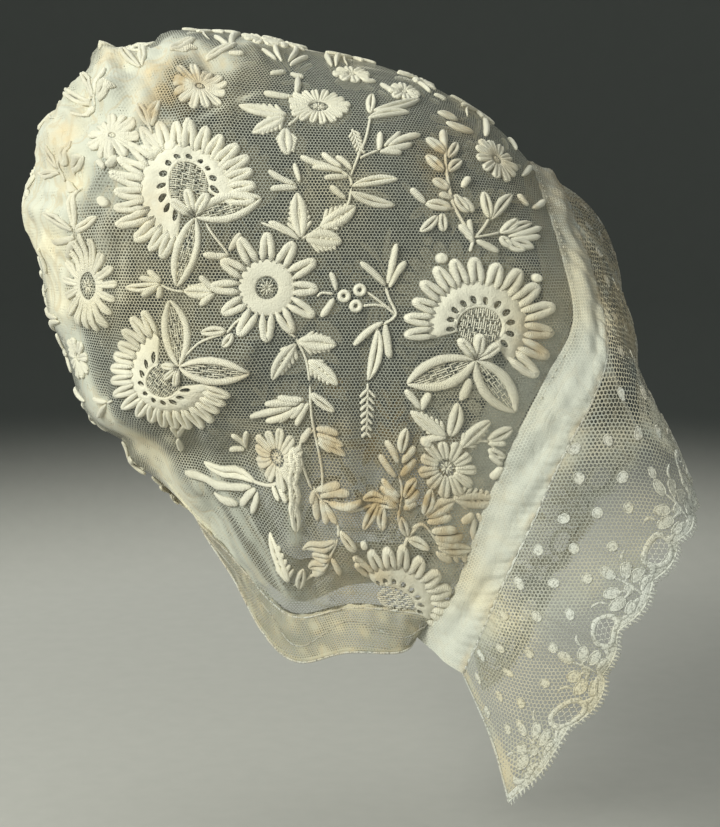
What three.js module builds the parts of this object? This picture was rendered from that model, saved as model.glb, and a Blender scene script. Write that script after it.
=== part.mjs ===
// An embroidered net cap: a full, soft crown of fine net gathered into a nape hem,
// a folded band round the face opening and a wide lace frill sewn to that band.
// Millimetres. +X points out of the face opening, +Y to the wearer's left, +Z up.
// The origin is the point under the crown where the top of the head touches the net.
import * as THREE from 'three';

// Cloth thicknesses and the gap that separate pieces keep
const netWall = 1.2;
const bandWall = 1.6;
const hemWall = 1.6;
const laceWall = 1.0;
const flowerWall = 1.2;
const gap = 0.45;
const hemGap = 0.75; // the hem turns sharply below the ears, so it keeps a wider one

// The crown is star-shaped about the middle of the head
const headMiddle = new THREE.Vector3(-13, 0, -100);
const halfWidth = 84;
const sideFlatness = 2.4; // power of the superellipse across the head: 2 is round, more is flatter
const crownPoleAngle = 139; // degrees above +X, where the rings of the crown close

// Side outline of the crown: how far it reaches from the middle of the head at each angle.
// Angles go up from +X in even steps. Rows from 260 to 20 lie in the open face and neck,
// and there they only shape the cheeks and the sides of the neck.
const sideOutline = [
  { angle: 0, reach: 144.5 }, { angle: 10, reach: 131.5 }, { angle: 20, reach: 121 },
  { angle: 30, reach: 115 }, { angle: 40, reach: 111.8 }, { angle: 50, reach: 108.7 },
  { angle: 60, reach: 106.8 }, { angle: 70, reach: 105.3 }, { angle: 80, reach: 104.8 },
  { angle: 90, reach: 107.3 }, { angle: 100, reach: 114.3 }, { angle: 110, reach: 120.5 },
  { angle: 120, reach: 127 }, { angle: 130, reach: 129.5 }, { angle: 140, reach: 130 },
  { angle: 150, reach: 127 }, { angle: 160, reach: 122 }, { angle: 170, reach: 114 },
  { angle: 180, reach: 106 }, { angle: 190, reach: 102 }, { angle: 200, reach: 99.5 },
  { angle: 210, reach: 102 }, { angle: 220, reach: 101 }, { angle: 230, reach: 97 },
  { angle: 240, reach: 99 }, { angle: 250, reach: 103.5 }, { angle: 260, reach: 122.5 },
  { angle: 270, reach: 148 }, { angle: 280, reach: 156 }, { angle: 290, reach: 172 },
  { angle: 300, reach: 176 }, { angle: 310, reach: 164 }, { angle: 320, reach: 159 },
  { angle: 330, reach: 156 }, { angle: 340, reach: 150 }, { angle: 350, reach: 148 },
];

// Folds of the soft net, as ridges (or, with a negative height, hollows) seen from the side
const folds = [
  { name: 'back_pouch', x0: -96, z0: -134, x1: -34, z1: -120, width: 15, height: 5 },
  { name: 'under_pouch', x0: -88, z0: -160, x1: -36, z1: -158, width: 9, height: -5 },
  { name: 'nape_pleat_1', x0: -50, z0: -194, x1: -84, z1: -168, width: 6, height: 3.2 },
  { name: 'nape_pleat_2', x0: -40, z0: -202, x1: -66, z1: -158, width: 5.5, height: 3.4 },
  { name: 'nape_pleat_3', x0: -30, z0: -212, x1: -46, z1: -156, width: 5.5, height: 3.2 },
  { name: 'nape_pleat_4', x0: -18, z0: -220, x1: -16, z1: -158, width: 5.5, height: 3.4 },
  { name: 'nape_pleat_5', x0: 0, z0: -220, x1: 8, z1: -172, width: 6, height: 2 },
  { name: 'top_peak', x0: -98, z0: 6, x1: -86, z1: -12, width: 8, height: 6 },
  { name: 'top_puff', x0: -62, z0: 14, x1: -56, z1: -4, width: 10, height: 2 },
  { name: 'top_hollow', x0: -76, z0: 10, x1: -66, z1: -10, width: 6, height: -3 },
  { name: 'back_puff_1', x0: -118, z0: -24, x1: -88, z1: -40, width: 11, height: 3 },
  { name: 'back_puff_2', x0: -128, z0: -62, x1: -92, z1: -66, width: 11, height: 2.5 },
  { name: 'back_puff_3', x0: -118, z0: -104, x1: -84, z1: -98, width: 11, height: 2.5 },
];

// Sections of the face edge, from the middle of the forehead down to the right jaw. Each holds
// the edge of the crown (its y follows from the crown), the seam where the lace is sewn to the
// band, and the belly and free edge of the lace.
const faceSections = [
  { at: 'forehead', crown: [84.5, -41], seam: [97, 0, -50], belly: [116, 0, -70], edge: [122, 0, -100] },
  { at: 'forehead_side', crown: [85, -44], seam: [98, -20, -54], belly: [116, -22, -76], edge: [121, -24, -106] },
  { at: 'brow', crown: [88, -56], seam: [102, -37, -68], belly: [118, -40, -91], edge: [122, -40, -119] },
  { at: 'high_temple', crown: [94, -78], seam: [108, -52, -90], belly: [122, -57, -113], edge: [128, -54, -142] },
  { at: 'temple', crown: [98, -104], seam: [111, -64, -114], belly: [127, -71, -134], edge: [141, -64, -160] },
  { at: 'cheekbone', crown: [87, -126], seam: [105, -70, -133], belly: [127, -78, -149], edge: [146, -73, -173] },
  { at: 'cheek', crown: [74, -152], seam: [92.5, -74, -156], belly: [118, -82, -170], edge: [141, -80, -187] },
  { at: 'low_cheek', crown: [62, -181], seam: [81, -75, -182], belly: [104.5, -84, -195], edge: [128, -85, -207] },
  { at: 'ear', crown: [52, -212], seam: [68.5, -73, -210], belly: [92, -84, -223], edge: [113, -87, -232] },
  { at: 'jaw', crown: [44.5, -225], seam: [61, -71, -229], belly: [82, -82, -247], edge: [103, -86, -257] },
  { at: 'jaw_corner', crown: [36, -235], seam: [54, -69, -246], belly: [66, -77, -273], edge: [73, -79, -299] },
];
const crownCornerRow = 9; // the crown stops at this section; below it the band meets the hem

// Sections of the nape hem, from beside the jaw to the middle of the nape. The top edge is
// sewn to the crown, and its y follows from the crown.
const napeSections = [
  { at: 'under_ear', top: [30, -222], bottom: [29, -63, -239] },
  { at: 'behind_ear', top: [9, -221], bottom: [7, -60, -240] },
  { at: 'side_of_neck', top: [-12, -227], bottom: [-13, -52.5, -246] },
  { at: 'neck_turn', top: [-24, -222], bottom: [-27, -43, -237] },
  { at: 'back_of_neck', top: [-41, -204], bottom: [-41, -25, -217] },
  { at: 'nape_side', top: [-56, -189], bottom: [-53, -13, -202] },
  { at: 'nape', top: [-61, -185], bottom: [-57, 0, -198] },
];

// Numbers of facets
const archSteps = 36; // along the face edge from jaw to jaw, without the band's corners
const napeSteps = 36; // along the nape from jaw to jaw
const crownRings = 18;
const laceStepsPerBandStep = 2;
const laceRows = 5;
const bandRows = 3;

// Frill: scallops of the lace border, and the soft waves of the lace
const scallopDepth = 3;
const scallopLength = 20;
const waveHeight = 3;
const waveCount = 11;

// Large embroidered flowers, raised on the right half of the crown and mirrored on the left.
// Each keeps clear of the crown's facets by its lift.
const largeFlowers = [
  { name: 'crest', x: -52, z: -52, radius: 27, petals: 18, opensTo: -60, opening: 90, lift: 1.0 },
  { name: 'cheek', x: 58, z: -104, radius: 26, petals: 18, opensTo: -105, opening: 80, lift: 1.1 },
  { name: 'back', x: -64, z: -126, radius: 25, petals: 18, opensTo: 50, opening: 90, lift: 1.3 },
  { name: 'jaw', x: 25, z: -211, radius: 20, petals: 18, opensTo: -90, opening: 160, lift: 1.4 },
];
const flowerHole = 0.26; // pierced middle, as a share of the radius
const flowerBody = 0.7; // where the petals start
const flowerBase = 0.5; // reach of the body on the side without petals

const radians = THREE.MathUtils.degToRad;

// Cubic through p1 and p2 with the slopes of their neighbours, at t from 0 to 1
function cubicThrough(p0, p1, p2, p3, t) {
  const a = -0.5 * p0 + 1.5 * p1 - 1.5 * p2 + 0.5 * p3;
  const b = p0 - 2.5 * p1 + 2 * p2 - 0.5 * p3;
  const c = 0.5 * (p2 - p0);
  return ((a * t + b) * t + c) * t + p1;
}

// Reach of the side outline at an angle in radians
function outlineReach(angle) {
  const count = sideOutline.length;
  const place = THREE.MathUtils.euclideanModulo((angle / (2 * Math.PI)) * count, count);
  const i = Math.floor(place);
  const row = (k) => sideOutline[(i + k + count) % count].reach;
  return cubicThrough(row(-1), row(0), row(1), row(2), place - i);
}

// Height of all folds at a point of the side view
function foldHeight(x, z) {
  let height = 0;
  for (const fold of folds) {
    const dx = fold.x1 - fold.x0;
    const dz = fold.z1 - fold.z0;
    const along = ((x - fold.x0) * dx + (z - fold.z0) * dz) / (dx * dx + dz * dz);
    const t = THREE.MathUtils.clamp(along, 0, 1);
    const away = Math.hypot(x - fold.x0 - t * dx, z - fold.z0 - t * dz);
    height += fold.height * Math.exp(-((away / fold.width) ** 2));
  }
  return height;
}

// Distance of the crown's outside from the middle of the head along a unit direction
function crownReach(direction) {
  const side = Math.hypot(direction.x, direction.z);
  const reach = outlineReach(Math.atan2(direction.z, direction.x));
  const sum = (side / reach) ** sideFlatness + (Math.abs(direction.y) / halfWidth) ** sideFlatness;
  const smooth = sum ** (-1 / sideFlatness);
  const x = headMiddle.x + smooth * direction.x;
  const z = headMiddle.z + smooth * direction.z;
  return smooth + foldHeight(x, z);
}

// Point of the crown's outside along a unit direction, moved out by lift
function crownPoint(direction, lift = 0) {
  return headMiddle.clone().addScaledVector(direction, crownReach(direction) + lift);
}

// Point of the crown's right half that the side view shows at x, z
function crownPointAt(x, z) {
  const angle = Math.atan2(z - headMiddle.z, x - headMiddle.x);
  const wanted = Math.hypot(x - headMiddle.x, z - headMiddle.z);
  const direction = new THREE.Vector3();
  let low = 0;
  let high = Math.PI / 2;
  for (let i = 0; i < 40; i++) {
    const turn = (low + high) / 2;
    direction.set(Math.cos(turn) * Math.cos(angle), -Math.sin(turn), Math.cos(turn) * Math.sin(angle));
    if (crownReach(direction) * Math.cos(turn) > wanted) low = turn;
    else high = turn;
  }
  return crownPoint(direction);
}

const mirrored = (p) => new THREE.Vector3(p.x, -p.y, p.z);

// A smooth line through right-hand points, given from the middle outwards or inwards,
// carried on over the middle to their mirror images
function lineOverHead(points) {
  const left = points.slice(1).reverse().map(mirrored);
  return new THREE.CatmullRomCurve3([...left, ...points], false, 'catmullrom', 0.5);
}

// Closed shell from rows of points and the wall's direction at each, with the wall centred on
// the points. Rows run along the strip, and the shell is closed at its four sides.
function shell(points, normals, wall) {
  const rows = points.length;
  const columns = points[0].length;
  const position = [];
  for (const side of [0.5, -0.5]) {
    for (let i = 0; i < rows; i++) {
      for (let j = 0; j < columns; j++) {
        position.push(...points[i][j].clone().addScaledVector(normals[i][j], side * wall).toArray());
      }
    }
  }
  const outer = (i, j) => i * columns + j;
  const inner = (i, j) => rows * columns + i * columns + j;
  const index = [];
  const quad = (a, b, c, d) => index.push(a, b, c, a, c, d);
  for (let i = 0; i + 1 < rows; i++) {
    for (let j = 0; j + 1 < columns; j++) {
      quad(outer(i, j), outer(i + 1, j), outer(i + 1, j + 1), outer(i, j + 1));
      quad(inner(i, j), inner(i, j + 1), inner(i + 1, j + 1), inner(i + 1, j));
    }
    quad(outer(i, 0), inner(i, 0), inner(i + 1, 0), outer(i + 1, 0));
    quad(outer(i, columns - 1), outer(i + 1, columns - 1), inner(i + 1, columns - 1), inner(i, columns - 1));
  }
  for (let j = 0; j + 1 < columns; j++) {
    quad(outer(0, j), outer(0, j + 1), inner(0, j + 1), inner(0, j));
    quad(outer(rows - 1, j), inner(rows - 1, j), inner(rows - 1, j + 1), outer(rows - 1, j + 1));
  }
  return solid(position, index);
}

function solid(position, index) {
  const geometry = new THREE.BufferGeometry();
  geometry.setAttribute('position', new THREE.Float32BufferAttribute(position, 3));
  geometry.setIndex(index);
  geometry.computeVertexNormals();
  return geometry;
}

// Normals of a grid of points, from its neighbours, facing away from the middle of the head
function gridNormals(points) {
  const last = points.length - 1;
  return points.map((row, i) => row.map((p, j) => {
    const along = points[Math.min(i + 1, last)][j].clone().sub(points[Math.max(i - 1, 0)][j]);
    const across = row[Math.min(j + 1, row.length - 1)].clone().sub(row[Math.max(j - 1, 0)]);
    return along.cross(across).normalize();
  }));
}

// The same cut through both walls of a joint: square to the seam's run, half way between the walls
function seamFrame(seam, normals) {
  const last = seam.length - 1;
  return seam.map((p, i) => {
    const along = seam[Math.min(i + 1, last)].clone().sub(seam[Math.max(i - 1, 0)]).normalize();
    const normal = normals[i].clone().addScaledVector(along, -normals[i].dot(along)).normalize();
    return { normal, away: normal.clone().cross(along).normalize() };
  });
}

// The face edge and the nape edge of the crown, from the left jaw to the right and back
const crownEdgeRows = faceSections.map(({ crown: [x, z] }) => crownPointAt(x, z));
crownEdgeRows[0] = crownPoint(new THREE.Vector3(
  faceSections[0].crown[0] - headMiddle.x, 0, faceSections[0].crown[1] - headMiddle.z).normalize());
const faceEdge = lineOverHead(crownEdgeRows);
const seamLine = lineOverHead(faceSections.map(({ seam }) => new THREE.Vector3(...seam)));
const bellyLine = lineOverHead(faceSections.map(({ belly }) => new THREE.Vector3(...belly)));
const freeEdge = lineOverHead(faceSections.map(({ edge }) => new THREE.Vector3(...edge)));

const lastRow = faceSections.length - 1;
const cornerShare = crownCornerRow / lastRow;
const jawCorner = crownEdgeRows[crownCornerRow];
const napeTopRows = [...napeSections.map(({ top: [x, z] }) => crownPointAt(x, z))].reverse();
const napeBottomRows = [...napeSections.map(({ bottom }) => new THREE.Vector3(...bottom))].reverse();
napeTopRows[0].y = 0;
const napeTop = lineOverHead([...napeTopRows, jawCorner]);
const napeBottom = lineOverHead([...napeBottomRows, crownEdgeRows[lastRow]]);

// Stations along the face edge: even steps over the crown, then one step down each band corner
const faceStations = [0];
for (let i = 0; i <= archSteps; i++) {
  faceStations.push(0.5 + 0.5 * cornerShare * ((2 * i) / archSteps - 1));
}
faceStations.push(1);

function crown() {
  const rim = [];
  for (let i = 0; i < archSteps; i++) rim.push(faceEdge.getPoint(faceStations[i + 1]));
  for (let i = 0; i < napeSteps; i++) rim.push(napeTop.getPoint(1 - i / napeSteps));
  const pole = new THREE.Vector3(Math.cos(radians(crownPoleAngle)), 0, Math.sin(radians(crownPoleAngle)));
  const rays = rim.map((p) => p.clone().sub(headMiddle));
  const position = [];
  for (const wall of [0, -netWall]) {
    position.push(...crownPoint(pole, wall).toArray());
    for (let ring = 1; ring <= crownRings; ring++) {
      for (const ray of rays) {
        const edge = ray.clone().normalize();
        const spread = pole.angleTo(edge);
        const turn = (ring / crownRings) * spread;
        const direction = pole.clone().multiplyScalar(Math.sin(spread - turn))
          .addScaledVector(edge, Math.sin(turn)).normalize();
        const onRim = ring === crownRings;
        const point = onRim ? headMiddle.clone().addScaledVector(direction, ray.length() + wall)
          : crownPoint(direction, wall);
        position.push(...point.toArray());
      }
    }
  }
  const count = rays.length;
  const half = 1 + crownRings * count;
  const vertex = (ring, i, inside) => inside * half + (ring ? 1 + (ring - 1) * count + (i % count) : 0);
  const index = [];
  for (const inside of [0, 1]) {
    const triangle = (a, b, c) => (inside ? index.push(a, b, c) : index.push(a, c, b));
    for (let i = 0; i < count; i++) {
      triangle(vertex(0, i, inside), vertex(1, i, inside), vertex(1, i + 1, inside));
      for (let ring = 1; ring < crownRings; ring++) {
        const corners = [[ring, i], [ring + 1, i], [ring + 1, i + 1], [ring, i + 1]];
        const [a, b, c, d] = corners.map(([r, k]) => vertex(r, k, inside));
        triangle(a, b, c);
        triangle(a, c, d);
      }
    }
  }
  for (let i = 0; i < count; i++) {
    const [a, b] = [vertex(crownRings, i, 0), vertex(crownRings, i + 1, 0)];
    const [c, d] = [vertex(crownRings, i + 1, 1), vertex(crownRings, i, 1)];
    index.push(a, b, d, b, c, d);
  }
  return solid(position, index);
}

// Band, hem and lace are strips; their first columns take the cut of the seam they are sewn to
function strip(columnsAt, stations, columns, firstFrame, wall, seamGap = gap) {
  const points = stations.map((s, i) => {
    const row = [];
    for (let j = 0; j <= columns; j++) row.push(columnsAt(s, j / columns, i));
    return row;
  });
  points.forEach((row, i) => {
    row[0].addScaledVector(firstFrame[i].away, seamGap);
  });
  const normals = gridNormals(points);
  normals.forEach((row, i) => {
    row[0] = firstFrame[i].normal;
  });
  return { geometry: shell(points, normals, wall), points, normals };
}

function outwardFrom(points) {
  return points.map((p) => p.clone().sub(headMiddle).normalize());
}

const faceEdgePoints = faceStations.map((s) => faceEdge.getPoint(s));
const faceFrame = seamFrame(faceEdgePoints, outwardFrom(faceEdgePoints));

const bandPuff = 1.2; // the folded band stands proud of its two edges
const band = strip((s, across, i) => {
  const inner = faceEdgePoints[i].clone().addScaledVector(faceFrame[i].normal, -netWall / 2);
  const outer = seamLine.getPoint(s);
  const puff = bandPuff * Math.sin(Math.PI * across);
  return inner.lerp(outer, across).addScaledVector(faceFrame[i].normal, puff);
}, faceStations, bandRows, faceFrame, bandWall);

const seamPoints = band.points.map((row) => row[bandRows]);
const seamNormals = band.normals.map((row) => row[bandRows]);
const sewnFrame = seamFrame(seamPoints, seamNormals);

// The lace: a curve across its width, from the seam through the belly to the free edge,
// with waves that grow towards the free edge and scallops along it
const laceStations = [];
for (let i = 0; i + 1 < faceStations.length; i++) {
  for (let k = 0; k < laceStepsPerBandStep; k++) {
    laceStations.push(THREE.MathUtils.lerp(faceStations[i], faceStations[i + 1], k / laceStepsPerBandStep));
  }
}
laceStations.push(1);
const between = (list, i) => {
  const low = Math.floor(i / laceStepsPerBandStep);
  const part = (i % laceStepsPerBandStep) / laceStepsPerBandStep;
  return part ? list[low].clone().lerp(list[low + 1], part) : list[low].clone();
};
const laceSeam = laceStations.map((s, i) => between(seamPoints, i));
const laceFrame = laceStations.map((s, i) => ({
  normal: between(sewnFrame.map((f) => f.normal), i).normalize(),
  away: between(sewnFrame.map((f) => f.away), i).normalize(),
}));
const freeEdgeLength = freeEdge.getLength();
const scallopCount = Math.round(freeEdgeLength / scallopLength);
const laceStrip = strip((s, across, i) => {
  const seam = laceSeam[i];
  const belly = bellyLine.getPoint(s);
  const edge = freeEdge.getPoint(s);
  const scallop = scallopDepth * Math.abs(Math.sin(Math.PI * scallopCount * s));
  const pull = edge.clone().sub(belly).normalize();
  edge.addScaledVector(pull, scallop - scallopDepth / 2);
  const handle = belly.multiplyScalar(2).addScaledVector(seam, -0.5).addScaledVector(edge, -0.5);
  const point = seam.clone().multiplyScalar((1 - across) ** 2)
    .addScaledVector(handle, 2 * across * (1 - across)).addScaledVector(edge, across ** 2);
  const wave = waveHeight * across * Math.sin(2 * Math.PI * waveCount * (s - 0.5));
  return point.addScaledVector(laceFrame[i].normal, wave);
}, laceStations, laceRows, laceFrame, laceWall);

// The hem carries on below the crown, and stops short of the band at both jaws
const hemStations = [];
for (let i = 0; i <= napeSteps; i++) hemStations.push(1 - i / napeSteps);
const hemEdgePoints = hemStations.map((s) => napeTop.getPoint(s));
const hemFrame = seamFrame(hemEdgePoints, outwardFrom(hemEdgePoints));
const hemEndClearance = 1.3;
const hemRows = 2;
const hem = strip((s, across, i) => {
  const top = hemEdgePoints[i].clone().addScaledVector(hemFrame[i].normal, -netWall / 2);
  const bottom = napeBottom.getPoint(s);
  const point = top.lerp(bottom, across);
  if (i === 0 || i === napeSteps) {
    const neighbour = napeTop.getPoint(hemStations[i === 0 ? 1 : napeSteps - 1]);
    const back = neighbour.sub(hemEdgePoints[i]).normalize();
    point.addScaledVector(back, hemEndClearance);
  }
  return point;
}, hemStations, hemRows, hemFrame, hemWall, hemGap);

// A raised flower: a pierced ring of cloth with finger-shaped petals on all but one side,
// worked out flat and dropped on to the crown
function flower({ x, z, radius, petals, opensTo, opening, lift }) {
  const centre = crownPointAt(x, z);
  const outward = centre.clone().sub(headMiddle).normalize();
  const up = new THREE.Vector3(0, 0, 1).addScaledVector(outward, -outward.z).normalize();
  const right = new THREE.Vector3().crossVectors(up, outward);
  const rim = [];
  for (let k = 0; k < petals; k++) {
    for (const [part, reach] of [[-0.26, 1], [0.26, 1], [0.5, flowerBody]]) {
      const turn = (360 * (k + part)) / petals;
      const fromOpening = Math.abs(THREE.MathUtils.euclideanModulo(turn - opensTo + 180, 360) - 180);
      rim.push({ turn: radians(turn), reach: fromOpening < opening / 2 ? flowerBase : reach });
    }
  }
  const position = [];
  for (const height of [lift + flowerWall, lift]) {
    for (const inner of [true, false]) {
      for (const { turn, reach } of rim) {
        const share = inner ? flowerHole : reach;
        const flat = centre.clone().addScaledVector(right, radius * share * Math.cos(turn))
          .addScaledVector(up, radius * share * Math.sin(turn));
        position.push(...crownPoint(flat.sub(headMiddle).normalize(), height).toArray());
      }
    }
  }
  const vertex = (under, outer, i) => (2 * under + outer) * rim.length + (i % rim.length);
  const index = [];
  const quad = (a, b, c, d) => index.push(a, b, c, a, c, d);
  for (let i = 0; i < rim.length; i++) {
    quad(vertex(0, 0, i), vertex(0, 1, i), vertex(0, 1, i + 1), vertex(0, 0, i + 1));
    quad(vertex(1, 0, i), vertex(1, 0, i + 1), vertex(1, 1, i + 1), vertex(1, 1, i));
    quad(vertex(0, 1, i), vertex(1, 1, i), vertex(1, 1, i + 1), vertex(0, 1, i + 1));
    quad(vertex(0, 0, i), vertex(0, 0, i + 1), vertex(1, 0, i + 1), vertex(1, 0, i));
  }
  return solid(position, index);
}

const cloth = (color, roughness) => new THREE.MeshStandardMaterial({ color, roughness, metalness: 0 });
const netCloth = cloth('#dcd8c6', 0.9);
const bandCloth = cloth('#e9e7da', 0.85);
const hemCloth = cloth('#ddd6bf', 0.9);
const laceCloth = cloth('#e3dfcf', 0.9);
const padding = cloth('#efe6cd', 0.8);

const cap = new THREE.Group();
cap.name = 'lace_cap';

function addPiece(name, geometry, material) {
  const mesh = new THREE.Mesh(geometry, material);
  mesh.name = name;
  cap.add(mesh);
  return mesh;
}

addPiece('crown', crown(), netCloth);
addPiece('front_band', band.geometry, bandCloth);
addPiece('lace_frill', laceStrip.geometry, laceCloth);
addPiece('nape_hem', hem.geometry, hemCloth);
for (const row of largeFlowers) {
  const geometry = flower(row);
  addPiece(`flower_${row.name}_right`, geometry, padding);
  const mirror = addPiece(`flower_${row.name}_left`, geometry, padding);
  mirror.scale.y = -1;
}

export default cap;
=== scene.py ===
"""Embroidered net cap: gauze crown with padded flowers, folded band, dotted lace frill and nape hem.

Shapes are worked out in millimetres on parameter grids and put into meshes in metres.
"""

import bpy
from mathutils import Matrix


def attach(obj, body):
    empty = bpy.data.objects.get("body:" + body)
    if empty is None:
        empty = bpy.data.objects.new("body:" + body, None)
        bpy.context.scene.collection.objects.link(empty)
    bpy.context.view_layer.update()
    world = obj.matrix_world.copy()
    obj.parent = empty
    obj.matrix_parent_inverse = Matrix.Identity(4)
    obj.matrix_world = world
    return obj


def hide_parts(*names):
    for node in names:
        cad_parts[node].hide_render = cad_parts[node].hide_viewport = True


bl_info = {
    "name": "Embroidered Net Cap",
    "version": (1, 0, 0),
    "blender": (4, 5, 0),
    "location": "3D View > Sidebar > Net Cap",
    "description": "Makes the net crown, embroidery, band, lace frill and hem of an old cap",
    "category": "Add Mesh",
}

import bpy
import numpy as np
from bpy.props import FloatProperty, FloatVectorProperty, PointerProperty
from mathutils import Vector

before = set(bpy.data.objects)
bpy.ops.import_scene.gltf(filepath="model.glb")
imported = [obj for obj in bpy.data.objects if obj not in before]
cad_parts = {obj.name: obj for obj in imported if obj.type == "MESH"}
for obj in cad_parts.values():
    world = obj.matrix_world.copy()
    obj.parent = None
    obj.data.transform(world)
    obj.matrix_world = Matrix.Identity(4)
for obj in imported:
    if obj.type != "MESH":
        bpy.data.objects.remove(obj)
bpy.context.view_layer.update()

MM = 0.001

# Shape of the cap, the same values as its solids have

HEAD_MIDDLE = np.array([-13.0, 0.0, -100.0])
HALF_WIDTH = 84.0
SIDE_FLATNESS = 2.4
CROWN_POLE_ANGLE = np.radians(139.0)

# Reach of the side outline from the middle of the head, every 10 degrees up from +X
OUTLINE_REACH = np.array([
    144.5, 131.5, 121, 115, 111.8, 108.7, 106.8, 105.3, 104.8, 107.3, 114.3, 120.5,
    127, 129.5, 130, 127, 122, 114, 106, 102, 99.5, 102, 101, 97,
    99, 103.5, 122.5, 148, 156, 172, 176, 164, 159, 156, 150, 148,
])

# Large folds, seen from the side: x and z of both ends, width, height
FOLDS = np.array([
    (-96, -134, -34, -120, 15, 5), (-88, -160, -36, -158, 9, -5), (-50, -194, -84, -168, 6, 3.2),
    (-40, -202, -66, -158, 5.5, 3.4), (-30, -212, -46, -156, 5.5, 3.2), (-18, -220, -16, -158, 5.5, 3.4),
    (0, -220, 8, -172, 6, 2), (-98, 6, -86, -12, 8, 6), (-62, 14, -56, -4, 10, 2),
    (-76, 10, -66, -10, 6, -3), (-118, -24, -88, -40, 11, 3), (-128, -62, -92, -66, 11, 2.5),
    (-118, -104, -84, -98, 11, 2.5),
], float)

# Sections of the face edge, forehead to jaw: crown edge x, z; then x, y, z of the
# seam of the lace, its belly and its free edge
FACE_SECTIONS = np.array([
    (84.5, -41, 97, 0, -50, 116, 0, -70, 122, 0, -100),
    (85, -44, 98, -20, -54, 116, -22, -76, 121, -24, -106),
    (88, -56, 102, -37, -68, 118, -40, -91, 122, -40, -119),
    (94, -78, 108, -52, -90, 122, -57, -113, 128, -54, -142),
    (98, -104, 111, -64, -114, 127, -71, -134, 141, -64, -160),
    (87, -126, 105, -70, -133, 127, -78, -149, 146, -73, -173),
    (74, -152, 92.5, -74, -156, 118, -82, -170, 141, -80, -187),
    (62, -181, 81, -75, -182, 104.5, -84, -195, 128, -85, -207),
    (52, -212, 68.5, -73, -210, 92, -84, -223, 113, -87, -232),
    (44.5, -225, 61, -71, -229, 82, -82, -247, 103, -86, -257),
    (36, -235, 54, -69, -246, 66, -77, -273, 73, -79, -299),
], float)
CROWN_CORNER = 9

# Sections of the nape hem: top x, z; then bottom x, y, z
NAPE_SECTIONS = np.array([
    (30, -222, 29, -63, -239), (9, -221, 7, -60, -240), (-12, -227, -13, -52.5, -246),
    (-24, -222, -27, -43, -237), (-41, -204, -41, -25, -217), (-56, -189, -53, -13, -202),
    (-61, -185, -57, 0, -198),
], float)

NET_DEPTH = 0.6  # the net lies in the middle of the solid's wall

TURN = 2 * np.pi
WAVE_HEIGHT, WAVE_COUNT = 3.0, 11
SCALLOP_DEPTH, SCALLOP_LENGTH = 3.0, 20.0

# The view that the embroidery was laid out in: a long lens from the wearer's right
VIEW_LENS, VIEW_SENSOR = 80.0, 36.0
VIEW_WIDTH, VIEW_HEIGHT = 720.0, 827.0
VIEW_TILT = np.radians(8.0)
VIEW_PLACE = np.array([12.719, -792.214, -38.298])
VIEW_FORWARD = np.array([0.0, np.cos(VIEW_TILT), -np.sin(VIEW_TILT)])
VIEW_UP = np.array([0.0, np.sin(VIEW_TILT), np.cos(VIEW_TILT)])
VIEW_RIGHT = np.array([1.0, 0.0, 0.0])

# Fine creases of the net, laid out in that view: both ends, width and height in mm
CREASES = np.array([
    (252, 345, 205, 440, 3.0, 1.6), (228, 120, 238, 70, 3.0, 1.5), (372, 330, 376, 520, 5.0, -1.2),
    (398, 420, 386, 560, 4.0, 1.2), (345, 400, 352, 560, 5.0, 1.0), (300, 560, 262, 455, 2.6, 0.9),
    (286, 590, 242, 490, 2.4, 0.9), (270, 560, 215, 470, 2.4, -0.7), (250, 540, 180, 440, 2.6, 0.9),
    (232, 520, 160, 430, 2.2, -0.7), (220, 515, 140, 420, 2.6, 1.0), (200, 490, 120, 405, 2.4, 1.0),
    (318, 600, 300, 500, 2.6, -1.2), (330, 605, 322, 520, 2.6, 1.2), (352, 606, 350, 545, 2.4, 1.0),
    (128, 330, 118, 420, 3.2, 1.6), (112, 300, 104, 400, 2.6, -1.2), (100, 60, 150, 100, 4.0, 1.8),
    (120, 48, 176, 70, 3.0, -1.4), (60, 110, 110, 150, 4.0, 1.6), (40, 160, 90, 190, 3.6, -1.4),
    (30, 210, 84, 232, 4.0, 1.6), (34, 262, 70, 262, 3.4, -1.2), (56, 310, 96, 322, 3.4, 1.4),
    (150, 52, 190, 120, 3.4, 1.6), (210, 45, 216, 100, 3.6, -1.2), (130, 110, 100, 190, 4.4, 1.4),
    (506, 240, 560, 330, 6.0, -0.8), (470, 400, 440, 560, 6.0, 0.7), (330, 180, 340, 260, 7.0, 0.6),
    (176, 300, 190, 350, 3.4, -1.0), (205, 255, 170, 300, 3.6, 0.9), (103, 42, 114, 90, 2.5, 2.6),
    (144, 50, 162, 92, 1.6, 2.4), (120, 60, 128, 110, 3.0, -2.4), (70, 95, 52, 147, 3.0, 2.8),
    (84, 120, 66, 175, 2.6, -2.2), (60, 150, 100, 165, 2.2, 1.8), (36, 168, 28, 230, 3.0, 2.4),
    (60, 200, 48, 250, 2.4, -2.0), (90, 60, 80, 110, 2.4, -2.0), (170, 44, 182, 74, 2.0, 2.2),
    (196, 44, 206, 66, 2.0, -2.0), (130, 150, 104, 180, 2.0, 1.6), (64, 110, 96, 128, 2.2, 2.0),
    (44, 190, 80, 196, 2.0, 1.6), (110, 215, 96, 268, 2.0, 1.4), (250, 42, 262, 58, 2.2, 1.4),
], float)


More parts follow.
